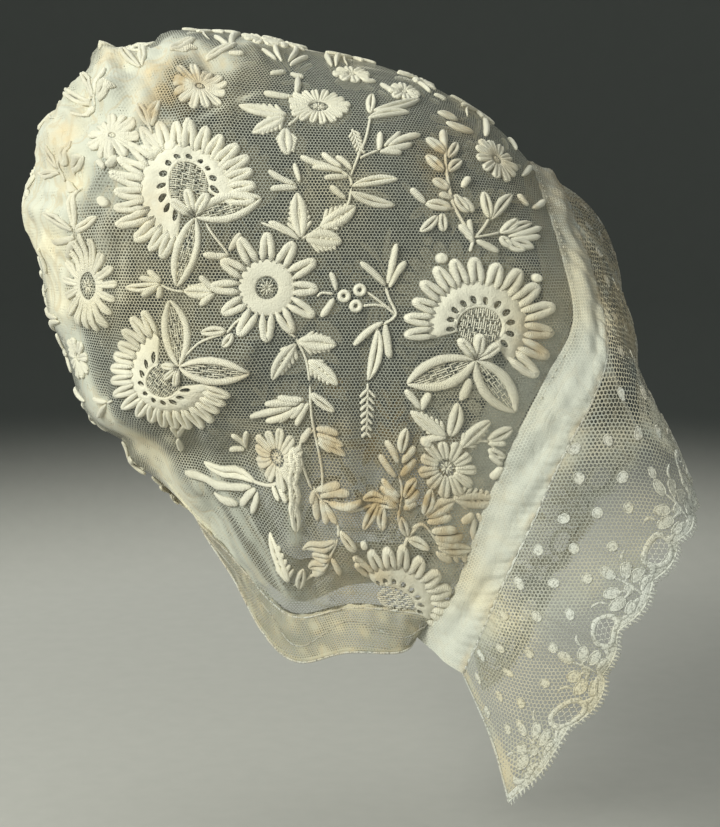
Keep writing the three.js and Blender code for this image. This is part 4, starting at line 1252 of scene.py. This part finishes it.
def lace_grid(s, across):
    """Lace: a parabola-like curve from the seam through the belly to the free edge.

    It has waves that grow outwards and scallops along the edge. s and across are arrays of one shape.
    """
    rows = [over_head(FACE_SECTIONS[:, k:k + 3]) for k in (2, 5, 8)]
    seam, belly, edge = (line_through(r, s) for r in rows)
    fine = np.linspace(0, 1, 801)
    scallops = round(lengths(line_through(rows[2], fine), 0)[-1] / SCALLOP_LENGTH)
    scallop = SCALLOP_DEPTH * (np.abs(np.sin(np.pi * scallops * s)) - 0.5)
    edge = edge + unit(edge - belly) * scallop[..., None]
    handle = 2 * belly - 0.5 * seam - 0.5 * edge
    a = across[..., None]
    points = (1 - a) ** 2 * seam + 2 * a * (1 - a) * handle + a ** 2 * edge
    seam_line = line_through(rows[0], fine)
    band_middle = band_points(fine, np.full((801, 1), 0.5))[:, 0]
    normal = unit(np.cross(np.gradient(seam_line, axis=0), seam_line - band_middle))
    normal = np.stack([np.interp(s, fine, normal[:, i]) for i in range(3)], -1)
    wave = WAVE_HEIGHT * across * np.sin(TURN * WAVE_COUNT * (s - 0.5))
    flutes = 0.7 * across * np.sin(37 * TURN * s + 3 * across) + 0.35 * (1 - across) * np.sin(
        120 * TURN * s + 2 * np.sin(40 * s))
    return points + normal * (wave + flutes)[..., None]


LACE_STEPS = 600, 40  # steps of the map along and across the lace
LACE_REPEAT = 40.0  # about the length of one repeat of the border


class LaceMap:
    """Turns places on the lace, in mm along and in from its free edge, into points."""

    def __init__(self):
        self.s, across = np.linspace(0, 1, LACE_STEPS[0] + 1), np.linspace(0, 1, LACE_STEPS[1] + 1)
        self.along = lengths(lace_grid(self.s, np.full_like(self.s, 0.8)), 0)
        self.points = lace_grid(*np.meshgrid(self.s, across, indexing="ij"))
        self.normals = grid_normals(self.points)
        self.length, self.width = self.along[-1], lengths(self.points, 1)[:, -1]
        self.repeat = self.length / round(self.length / LACE_REPEAT)
        self.middles = np.arange(self.repeat / 2, self.length, self.repeat)

    def width_at(self, along):
        return np.interp(along, self.along, self.width)

    def place(self, uv, lift):
        """uv is mm along and mm in from the free edge; lift is in mm off the outer face."""
        rows, columns = LACE_STEPS
        i = np.clip(np.interp(uv[..., 0], self.along, self.s) * rows, 0, rows - 0.001)
        j = np.clip((1 - uv[..., 1] / self.width_at(uv[..., 0])) * columns, 0, columns + 3)
        a, b = i.astype(int), np.minimum(j.astype(int), columns - 1)
        u, v = (i - a)[..., None], (j - b)[..., None]

        def sample(grid):
            return ((grid[a, b] * (1 - u) + grid[a + 1, b] * u) * (1 - v)
                    + (grid[a, b + 1] * (1 - u) + grid[a + 1, b + 1] * u) * v)

        return sample(self.points) + unit(sample(self.normals)) * lift[..., None]


def square_to(run):
    """The vectors of a flat run turned by a right angle."""
    return np.stack([-run[..., 1], run[..., 0]], -1)


def lace_lobes(parts, lace, start, end, width, bend=0.0, height=0.3, base=0.4, tip=0.3, steps=8):
    """Flat worked shapes on the lace. start and end are mm along and mm in from the free edge."""
    side = square_to(end - start)
    line, t = bowed_lines(start, end, side, bend, steps)
    profile = lobe_profile(t, base, tip, 0.0)
    half = 0.5 * width * profile * np.ones((len(start), 1))
    high = height * np.sqrt(profile)
    padded_strips(parts, line, unit(side)[:, None], half, high, FLAT, lace.place, 0.5, 0.05)


BROW_LOW, BROW_HEIGHT = -185.0, 90.0


def brow_at(points):
    """How far points lie up over the forehead, 0 to 1: a slope in z."""
    return np.clip((points[..., 2] - BROW_LOW) / BROW_HEIGHT, 0, 1)


# Border of the lace, about the middle of each flower, mm along and mm in from the free edge. Worked
# ovals: middle, length, width, lean in degrees. Strokes: both ends, width, bow as a share of the length
BORDER_OVALS = ((-2.0, 19.6, 7.2, 4.6, 98), (-6.6, 13.4, 7.4, 5.0, 158), (-7.0, 8.2, 7.6, 4.8, 190),
                (4.4, 14.6, 7.0, 4.8, 52), (7.4, 10.2, 7.6, 5.4, 15), (0.0, 9.2, 4.2, 4.2, 0),
                (6.4, 5.0, 6.6, 4.0, -14), (-5.8, 4.4, 5.6, 3.4, 200))
BORDER_STROKES = ((0.0, 3.0, -1.4, 16.5, 1.2, 0.08), (0.0, 9.0, -3.4, 12.4, 1.0, 0.0),
                  (0.0, 9.0, 3.0, 12.4, 1.0, 0.0), (0.5, 8.0, 4.4, 9.4, 1.0, 0.0),
                  (9.4, 3.2, 13.6, 8.6, 2.6, -0.2), (-9.4, 3.2, -13.6, 8.6, 2.6, 0.2),
                  (9.0, 13.4, 13.6, 18.0, 1.2, 0.25), (-9.4, 15.6, -13.4, 19.0, 1.2, -0.25),
                  (1.5, 4.0, 9.0, 2.6, 2.4, 0.1), (-1.5, 4.0, -9.0, 2.6, 2.4, -0.1))

# Medallions of the border: their middles, in mm from the free edge, and half the length and height
# of their openings
MEDALLION_IN, MEDALLION_HALF = 7.4, np.array([6.2, 4.6])


def make_lace():
    """Dotted net of the frill: the lace surface, with its own net in mm along and across."""
    s, a = np.meshgrid(np.linspace(0, 1, 900), np.linspace(0, 1, 54), indexing="ij")
    points = lace_grid(s, a)
    uv = arc_uv(points)
    u = uv[..., 0]
    ends = np.abs(s - 0.5)
    milky = np.clip(0.32 * np.sin(0.055 * u + 2.6 * a + 1.1 * np.sin(0.02 * u)) ** 8
                    + 0.3 * np.clip((0.16 - a) / 0.16, 0, 1) + 0.5 * np.clip((a - 0.94) / 0.05, 0, 1)
                    + 0.35 * (ends > 0.493), 0, 1)
    lace = LaceMap()
    along = np.interp(s, lace.s, lace.along)
    inward = (1 - a) * lace.width_at(along)
    along = along - lace.repeat * np.clip(np.round(along / lace.repeat), 1, len(lace.middles) - 1)
    opening = np.stack([along, inward - MEDALLION_IN], -1) / MEDALLION_HALF
    milky[np.sum(opening ** 2, -1) < 1] = -1
    # Painted shade: over the forehead the lace net is tinted tan and darker; the tan at both ends is stain.
    return new_piece("lace_net", points, [grid_faces(*s.shape)], ["Lace net"], uv, {
        "stain_and_shade": np.maximum(0.5 * brow_at(points), 0.3 * (ends > 0.49)),
        "shade": 0.35 + 0.5 * milky - 0.5 * brow_at(points), "milky": milky})


def make_lace_work():
    """Dots, border flowers, honeycomb medallions, corded edge and picots of the frill."""
    lace = LaceMap()
    parts = Parts()

    def shape_ring(centre, r, tall, half_width, height=0.35, count=15, way=np.array([1.0, 0.0])):
        """Two arcs round an oval whose long axis points along way."""
        t = np.linspace(0, 1, count)
        ends = closed(t, 12)
        for first in (0, np.pi):
            a = first + t[:, None] * (np.pi + 0.15)
            line = centre[:, None] + r * (np.cos(a) * way + tall * np.sin(a) * square_to(way))
            side = unit(square_to(np.gradient(line, axis=1)))
            padded_strips(parts, line, side, half_width * ends, height * ends, FLAT, lace.place, 0.5, 0.05)

    def disc(centre, long, wide, lean=0.0):
        """Worked oval, leaning by degrees: a thin filling and a raised rim."""
        way = np.array([np.cos(np.radians(lean)), np.sin(np.radians(lean))])
        lace_lobes(parts, lace, centre - way * long / 2, centre + way * long / 2, wide, 0.0, 0.25, 0.5, 0.5)
        shape_ring(centre, 0.5 * long - 0.3, (wide - 0.6) / (long - 0.6), 0.32, 0.4, way=way)

    dots = []
    for k, inward in enumerate((25.0, 36.0, 47.0, 58.0)):
        along = np.arange(6.0 + 8.0 * (k % 2), lace.length - 4, 16.0)
        dots.append(np.stack([along, inward + 1.2 * np.sin(along)], -1))
    dots = np.vstack(dots)
    disc(dots[dots[:, 1] < lace.width_at(dots[:, 0]) - 3], 4.4, 4.4)

    flowers = np.stack([lace.middles, 0 * lace.middles], -1)
    for x, y, long, wide, lean in BORDER_OVALS:
        disc(flowers + (x, y), long, wide, lean)
    for x0, y0, x1, y1, wide, bend in BORDER_STROKES:
        lace_lobes(parts, lace, flowers + (x0, y0), flowers + (x1, y1), wide, bend, 0.35, 0.3, 0.3)
    medallions = flowers[:-1] + (lace.repeat / 2, MEDALLION_IN)
    shape_ring(medallions, 7.0, 0.74, 1.25, 0.4, 40)
    add_honeycomb(parts, lace, medallions)

    along = np.linspace(0, lace.length, 900)
    for inward, half, high in ((0.3, 0.4, 0.4), (2.0, 1.9, 0.2), (lace.width_at(along) - 0.7, 0.4, 0.2)):
        line = np.stack(np.broadcast_arrays(along, inward), -1)[None]
        padded_strips(parts, line, (0.0, 1.0), half * np.ones(900), high, FLAT, lace.place, 0.5, 0.0)
    for end in (0.7, lace.length - 0.7):
        t = np.linspace(0, 1, 60)
        line = np.stack([end + 0.4 * np.sin(9 * t), t * (lace.width[0] - 1)], -1)[None]
        padded_strips(parts, line, (1.0, 0.0), 0.7 * np.ones(60), 0.5, FLAT, lace.place, 0.5, 0.0)
    picots = np.arange(1.5, lace.length - 1, 1.7)
    picots = np.stack([picots, 0.5 * np.sin(5.1 * picots)], -1)
    for lean in (-0.75, 0.75):
        lace_lobes(parts, lace, picots + (lean, 0.4), picots + (0.9 * lean, -2.1), 0.6, 0.0, 0.4, 0.2, 0.2, 5)
    # Painted shade: over the forehead the lace work is darker and tinted tan.
    brow = brow_at(np.vstack(parts.points))
    parts.shade = [0.5 - 1.1 * brow]
    return parts.piece("lace_work", ["Lace work"], "lace", tan=0.06 + 0.55 * brow)


def add_honeycomb(parts, lace, centres):
    """Open mesh of a medallion: the sides of hexagonal cells inside an oval."""
    pitch = 2.5
    spots = [(i * pitch + (j % 2) * pitch / 2, j * pitch * 0.866) for i in range(-4, 5) for j in range(-3, 4)]
    sides = set()
    for x, y in spots:
        corners = [(round(x + pitch / 3 ** 0.5 * np.sin(a), 3), round(y + pitch / 3 ** 0.5 * np.cos(a), 3))
                   for a in np.arange(6) * np.pi / 3]
        for a, b in zip(corners, corners[1:] + corners[:1]):
            if max(np.sum((np.array(p) / MEDALLION_HALF) ** 2) for p in (a, b)) < 1.1:
                sides.add((min(a, b), max(a, b)))
    ends = np.array(sorted(sides))
    start, end = ((centres[:, None] + ends[None, :, i]).reshape(-1, 2) for i in (0, 1))
    line = start[:, None] + np.linspace(0, 1, 5)[:, None] * (end - start)[:, None]
    profile = np.array([0, 0.8, 0.7, 0.8, 0])
    padded_strips(parts, line, unit(square_to(end - start))[:, None], 0.38 * profile, 0.3 * profile, FLAT,
                  lace.place, 0.5, 0.05)


def hem_points(stations, across):
    """Hem: straight across from the crown's edge to the lower edge."""
    top = line_through(over_head(nape_top_rows()), stations)
    bottom = line_through(over_head(nape_bottom_rows()), stations)
    top = top - seam_normal(top) * NET_DEPTH
    a = across[..., None]
    return top[:, None] * (1 - a) + bottom[:, None] * a


def make_hem():
    """Nape hem: folded net between the crown's edge and the lower edge, with soft folds along it."""
    a = np.broadcast_to(np.linspace(-0.04, 1, 20), (420, 20))
    points = hem_points(1 - np.linspace(0, 1, 420), a)
    for row, beside in ((0, 1), (-1, -2)):
        points[row] += 3.0 * unit(points[row] - points[beside])
    uv = arc_uv(points)
    u = uv[..., 0]
    folds = (0.55 * np.sin(8 * a + 0.06 * u + 1.2 * np.sin(0.04 * u)) * np.sin(np.pi * np.clip(a, 0, 1))
             + (0.25 * np.sin(0.9 * u + 1.3 * np.sin(0.1 * u)) + 0.3 * np.sin(0.23 * u)) * (1 - a) ** 2)
    both, quads = folded_wall(points, folds, a, 0.0)
    uv = np.concatenate([uv, uv[:, ::-1] + (0.4, 0.7)], 1)
    milky = (0.15 + 0.45 * np.sin(0.11 * u + 6 * a + np.sin(0.05 * u)) ** 2 * np.sin(0.31 * u + 3 * a) ** 2
             + 0.4 * (np.minimum(np.abs(a), np.abs(1 - a)) < 0.1))
    milky = both_faces(milky)
    streaks = 0.12 + 0.3 * np.sin(30 * both[:, 0] + 0.08 * both[:, 2]) ** 8
    piece = new_piece("hem_net", both, quads, ["Hem net"], uv, {
        "stain_and_shade": np.maximum(0.5 * stain_at(both), streaks), "shade": 0.3 + 0.6 * milky, "milky": milky})
    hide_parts("nape_hem")
    return piece


def lifted(out, tips=1.0):
    """Function that raises rings of lines, and a share as much their tips, along the lines' way out."""
    def place(points, lift):
        ways = out[:, 1:-1, None] if points.ndim == 4 else tips * out[:, [0, -1]]
        return points + ways * lift[..., None]
    return place


def make_hem_cord():
    """Drawn thread of the hem: a yellowed cord that waves along the middle, and one at each edge."""
    parts = Parts()
    stations = 0.99 - 0.98 * np.linspace(0, 1, 900)
    for share, wave, half, high in ((0.48, 0.17, 0.95, 0.45), (0.98, 0.0, 0.6, 0.7), (0.03, 0.0, 0.6, 0.6)):
        across = share + wave * np.sin(5.5 * TURN * stations + 0.6 * np.sin(15 * stations))
        line = hem_points(stations, across[:, None])[:, 0]
        normal = seam_normal(line)
        side = np.cross(unit(np.gradient(line, axis=0)), normal)
        place = lifted(normal[None], tips=0.0)
        padded_strips(parts, line[None], side, half * np.ones(900), high, ROUNDED, place, 0.2, 0.3)
    return parts.piece("hem_cord", ["Lace work"], "hem", tan=0.45)


def make_stitches():
    """Running stitches where the band is sewn to the crown."""
    parts = Parts()
    line = band_points(np.linspace(0.004, 0.996, 1400), np.full((1400, 1), 0.07))[:, 0]
    length = lengths(line, 0)
    at = np.arange(1, length[-1] - 3, 3.1)[:, None] + 1.3 * np.linspace(0, 1, 5)
    lines, out = (np.stack([np.interp(at, length, column) for column in rows.T], -1)
                  for rows in (line, unit(line - HEAD_MIDDLE)))
    side = unit(np.cross(np.gradient(lines, axis=1), out))
    profile = np.array([0, 0.9, 1, 0.9, 0])
    padded_strips(parts, lines, side, 0.2 * profile, 0.25 * profile, ROUNDED, lifted(out), 0.3, 0.65)
    return parts.piece("band_stitches", ["Satin stitch cotton"], "embroidery")


# Embroidery pieces


def add_comb(parts, row, high=0.9):
    """Comb leaf: pairs of teeth along a stem, shorter towards the tip."""
    x0, y0, x1, y1, pairs, length, width = row
    t = np.linspace(0.12, 0.92, pairs)[:, None]
    foot, tip = seen(x0, y0), seen(x1, y1)
    add_lobes(parts, foot[None], tip[None], 1.1, 0.0, 0.8, ROUNDED, 0.1, 0.1)
    along = unit(tip - foot)
    across = unit(np.cross(foot - HEAD_MIDDLE, along))
    roots = foot + t * (tip - foot)
    for side in (1, -1):
        ends = roots + length * (1 - 0.45 * t) * 0.75 * (along + side * across)
        add_lobes(parts, roots, ends, width, 0.0, high, ROUNDED, 0.3, 0.3, steps=7)


def make_sprigs():
    """Leaves, stems, knobs and small flowers of both sides of the crown."""
    parts = Parts()
    start, end = seen(*LEAVES[:, 0:2].T), seen(*LEAVES[:, 2:4].T)
    width, number = LEAVES[:, 4], np.arange(len(LEAVES))
    # Painted light: the leaves low at the back get a brighter shade than the rest.
    pale = ((LEAVES[:, 0] > PALE_LEFT) & (LEAVES[:, 0] < PALE_RIGHT) & (LEAVES[:, 1] > PALE_TOP)
            & (LEAVES[:, 3] < PALE_BOTTOM))
    shade = np.where(pale, PALE_SHADE, 0.5 + 0.2 * np.sin(2.4 * number))
    bow = 0.06 * np.sin(2.3 * number)
    slit, plain = width >= SLIT_WIDTH, width < SLIT_WIDTH
    add_slit_leaves(parts, start[slit], end[slit], 0.95 * width[slit] - 0.1, bow[slit], 1.4, shade[slit])
    add_lobes(parts, start[plain], end[plain], 0.76 * width[plain], bow[plain], 1.5, base=0.4, tip=0.3,
              swell=0.15, shade=shade[plain])
    for x0, y0, x1, y1, wide in LEAVES[width > COMB_WIDTH]:
        add_comb(parts, (x0, y0, 0.3 * x0 + 0.7 * x1, 0.3 * y0 + 0.7 * y1, 5, 0.9 * wide, 1.7), 0.8)
    for stem in STEMS:
        add_stem(parts, stem, 1.1, 0.8)
    for comb in COMBS:
        add_comb(parts, comb)
    for x, y, radius in KNOBS:
        add_dome(parts, seen(x, y), radius, 1.5)
    for x, y, radius in BERRIES:
        add_ring(parts, polar_places(seen(x, y), radius), 0.66, 0.38 * radius, 1.3)
    for x, y, radius, petals, body, middle, tall in STARS:
        add_star(parts, seen(x, y), radius, int(petals), body, middle, 0.1 * x, tall)
    for side in ("right", "left"):
        parts.piece("sprigs_" + side, ["Satin stitch cotton"], "embroidery", side == "left")


def make_middle_sprigs():
    """Sprigs over the middle of the head: small flowers and pairs of leaves in turn."""
    parts = Parts()
    for angle, radius in MIDDLE_SPRIGS:
        a = np.radians(angle)
        d = np.array([np.cos(a), 0.0, np.sin(a)])
        centre = from_middle(d, crown_reach(d))
        ahead = np.array([-np.sin(a), 0.0, np.cos(a)])
        if radius:
            add_star(parts, centre, radius, 10, 0.4, 0.18, 0.3 * angle)
        foot_out, fan, bow = (16, ((11, 0), (6.6, 8.8), (6.6, -8.8)), 0.0) if radius else (
            4, ((14, 5), (14, -5), (5, 11), (5, -11)), 0.06)
        for side in (1, -1):
            across = np.array([0.0, side, 0.0])
            foot = centre + foot_out * across
            tips = np.array([foot + out * across + up * ahead for out, up in fan])
            add_lobes(parts, np.tile(foot, (len(fan), 1)), tips, 4.2, bow * side, 1.4)
            if not radius:
                add_lobes(parts, foot[None], (foot + 30 * across)[None], 1.1, 0.08, 0.8)
    return parts.piece("middle_sprigs", ["Satin stitch cotton"], "embroidery")


def make_large_flowers():
    """Large flowers, each over the solid that it stands for."""
    for row in LARGE_FLOWERS:
        parts = Parts()
        large_flower(parts, row)
        for side in ("right", "left"):
            piece = parts.piece(f"{row[0]}_flower_{side}", ["Satin stitch cotton", "Pierced satin stitch"],
                                "embroidery", side == "left")
            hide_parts(f"flower_{row[0]}_{side}")


# Stage


def make_stage():
    """Pale round table that turns up into a dark wall, soft light from all sides, and the camera.

    The table is a profile turned about the upright axis. The wall shows to the camera alone, from its
    inside, so it keeps no light out.
    """
    floor_z, wall_r, bend, top_z = -345.0, 700.0, 200.0, 1600.0
    turn = np.linspace(0, np.pi / 2, 24)
    r = np.concatenate([[1.0, 150.0, 300.0], wall_r - bend + bend * np.sin(turn), [wall_r]])[:, None]
    z = np.concatenate([[floor_z] * 3, floor_z + bend * (1 - np.cos(turn)), [top_z]])[:, None]
    around = np.linspace(0, TURN, 96, endpoint=False)
    points = np.stack(np.broadcast_arrays(r * np.cos(around), r * np.sin(around), z), -1)
    mesh = bpy.data.meshes.new("backdrop")
    faces = grid_faces(*points.shape[:2], wrap=True)
    mesh.from_pydata((points.reshape(-1, 3) * MM).tolist(), [], faces.tolist())
    mesh.polygons.foreach_set("use_smooth", np.ones(len(faces), bool))
    paper = bpy.data.materials.new("Backdrop paper")
    paper.use_nodes = True
    mesh.materials.append(paper)
    tree = paper.node_tree
    shader = tree.nodes["Principled BSDF"]
    shader.inputs["Roughness"].default_value = 0.95
    looks = bpy.context.scene.net_cap_colours
    place = object_place(tree)
    height = split(tree, place)[2]
    colour = mix_colour(tree, height.step(floor_z * MM, (floor_z + 0.55 * bend) * MM), colour4(looks.table),
                        colour4(looks.wall))
    toned(tree, colour, 0.95 + noise(tree, place, 90.0, 5.0) * 0.1).to(shader.inputs["Base Color"])
    outside = signal(tree, "ShaderNodeNewGeometry", output="Backfacing")
    unseen = 1.0 - signal(tree, "ShaderNodeLightPath", output="Is Camera Ray")
    share = outside.math("MAXIMUM", unseen * height.math("GREATER_THAN", (floor_z + 1) * MM))
    clear = signal(tree, "ShaderNodeBsdfTransparent")
    both = signal(tree, "ShaderNodeMixShader", (share, Signal(tree, shader.outputs[0]), clear))
    both.to(tree.nodes["Material Output"].inputs[0])
    new_object("backdrop", mesh)

    for name, place, aim, size, power, colour in (
            ("window", (-950, -900, 520), (0, 0, -120), 560, 22.0, (0.97, 1.0, 0.92)),
            ("room", (900, -1100, 200), (0, 0, -140), 1200, 4.8, (0.95, 1.0, 0.94)),
            ("above", (-200, 100, 1100), (0, 0, -100), 700, 3.0, (0.97, 1.0, 0.94)),
            ("behind", (-500, 1200, 420), (0, 0, -140), 1100, 8.0, (0.96, 1.0, 0.94))):
        light = bpy.data.lights.new(name, "AREA")
        light.size, light.energy, light.color = size * MM, power, colour
        lamp = new_object(name, light)
        lamp.location = np.array(place) * MM
        lamp.rotation_euler = (Vector(aim) - Vector(place)).to_track_quat("-Z", "Y").to_euler()

    world = bpy.data.worlds.new("room")
    world.use_nodes = True
    sky = world.node_tree.nodes["Background"]
    sky.inputs[0].default_value = (0.9, 0.95, 0.9, 1)
    sky.inputs[1].default_value = 0.15
    bpy.context.scene.world = world
    bpy.context.scene.view_settings.view_transform = "Standard"

    lens = bpy.data.cameras.new("camera")
    lens.lens, lens.sensor_width = VIEW_LENS, VIEW_SENSOR
    camera = new_object("camera", lens)
    camera.location = VIEW_PLACE * MM
    camera.rotation_euler = (np.pi / 2 - VIEW_TILT, 0, 0)
    bpy.context.scene.camera = camera


# Add-on


class NetCapSizes(bpy.types.PropertyGroup):
    net_pitch: FloatProperty(name="Net mesh", description="Distance between holes of the crown net",
                             default=0.00134, unit="LENGTH")
    net_thread: FloatProperty(name="Net thread", description="Width of the crown net's threads",
                              default=0.0003, unit="LENGTH")
    lace_pitch: FloatProperty(name="Lace mesh", description="Distance between holes of the lace net",
                              default=0.0016, unit="LENGTH")
    lace_thread: FloatProperty(name="Lace thread", description="Width of the lace net's threads",
                               default=0.00032, unit="LENGTH")


class NetCapColours(bpy.types.PropertyGroup):
    net: FloatVectorProperty(name="Net", description="Crown net", default=(0.5, 0.505, 0.43), subtype="COLOR")
    lace: FloatVectorProperty(name="Lace", description="Ground of the lace", default=(0.47, 0.475, 0.405),
                              subtype="COLOR")
    lace_work: FloatVectorProperty(name="Lace work", description="Dots and border of the lace",
                                   default=(0.8, 0.81, 0.74), subtype="COLOR")
    band: FloatVectorProperty(name="Band", description="Folded band", default=(0.62, 0.625, 0.545),
                              subtype="COLOR")
    hem: FloatVectorProperty(name="Hem", description="Nape hem", default=(0.43, 0.42, 0.33), subtype="COLOR")
    embroidery: FloatVectorProperty(name="Embroidery", description="Padded satin stitch",
                                    default=(0.86, 0.82, 0.67), subtype="COLOR")
    yellowed: FloatVectorProperty(name="Yellowing", description="Where the cotton has yellowed",
                                  default=(0.74, 0.67, 0.48), subtype="COLOR")
    # Tan of the old stains; the same colour also paints shade along crumple creases and over the forehead.
    stain_and_shade: FloatVectorProperty(name="Stain and shade", description="Old tan stains", default=(0.56, 0.43, 0.24),
                               subtype="COLOR")
    table: FloatVectorProperty(name="Table", description="Pale table", default=(0.45, 0.44, 0.41),
                               subtype="COLOR")
    wall: FloatVectorProperty(name="Wall", description="Dark wall", default=(0.032, 0.036, 0.034),
                              subtype="COLOR")


class NETCAP_OT_stage(bpy.types.Operator):
    """Make the table, the wall, the lights and the camera"""
    bl_idname = "net_cap.stage"
    bl_label = "Stage"

    def execute(self, context):
        make_stage()
        return {"FINISHED"}


class NETCAP_OT_crown(bpy.types.Operator):
    """Make the net crown"""
    bl_idname = "net_cap.crown"
    bl_label = "Net crown"

    def execute(self, context):
        crown = make_crown()
        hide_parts("crown")
        return {"FINISHED"}


class NETCAP_OT_embroidery(bpy.types.Operator):
    """Make the leaves, sprigs and flowers"""
    bl_idname = "net_cap.embroidery"
    bl_label = "Embroidery"

    def execute(self, context):
        make_sprigs()
        make_middle_sprigs()
        make_large_flowers()
        return {"FINISHED"}


class NETCAP_OT_band(bpy.types.Operator):
    """Make the folded band and its stitches"""
    bl_idname = "net_cap.band"
    bl_label = "Folded band"

    def execute(self, context):
        band = make_band()
        stitches = make_stitches()
        return {"FINISHED"}


class NETCAP_OT_frill(bpy.types.Operator):
    """Make the lace frill with its dots and border"""
    bl_idname = "net_cap.frill"
    bl_label = "Lace frill"

    def execute(self, context):
        lace = make_lace()
        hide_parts("lace_frill")
        make_lace_work()
        return {"FINISHED"}


class NETCAP_OT_hem(bpy.types.Operator):
    """Make the nape hem and its drawn cords"""
    bl_idname = "net_cap.hem"
    bl_label = "Nape hem"

    def execute(self, context):
        hem = make_hem()
        cord = make_hem_cord()
        return {"FINISHED"}


class NETCAP_PT_panel(bpy.types.Panel):
    """Sizes, colours and pieces of the cap"""
    bl_label = "Embroidered Net Cap"
    bl_idname = "NETCAP_PT_panel"
    bl_space_type = "VIEW_3D"
    bl_region_type = "UI"
    bl_category = "Net Cap"

    def draw(self, context):
        layout = self.layout
        for group in (context.scene.net_cap_sizes, context.scene.net_cap_colours):
            box = layout.box()
            for key in group.bl_rna.properties.keys():
                if key not in ("rna_type", "name"):
                    box.prop(group, key)
        for operator in OPERATORS:
            layout.operator(operator.bl_idname)


OPERATORS = (NETCAP_OT_stage, NETCAP_OT_crown, NETCAP_OT_embroidery, NETCAP_OT_band, NETCAP_OT_frill,
             NETCAP_OT_hem)
CLASSES = (NetCapSizes, NetCapColours, *OPERATORS, NETCAP_PT_panel)


def register():
    for one in CLASSES:
        bpy.utils.register_class(one)
    bpy.types.Scene.net_cap_sizes = PointerProperty(type=NetCapSizes)
    bpy.types.Scene.net_cap_colours = PointerProperty(type=NetCapColours)


def unregister():
    del bpy.types.Scene.net_cap_sizes
    del bpy.types.Scene.net_cap_colours
    for one in reversed(CLASSES):
        bpy.utils.unregister_class(one)


def main():
    register()
    bpy.ops.net_cap.stage()
    bpy.ops.net_cap.crown()
    bpy.ops.net_cap.embroidery()
    bpy.ops.net_cap.band()
    bpy.ops.net_cap.frill()
    bpy.ops.net_cap.hem()


if __name__ == "__main__":
    main()
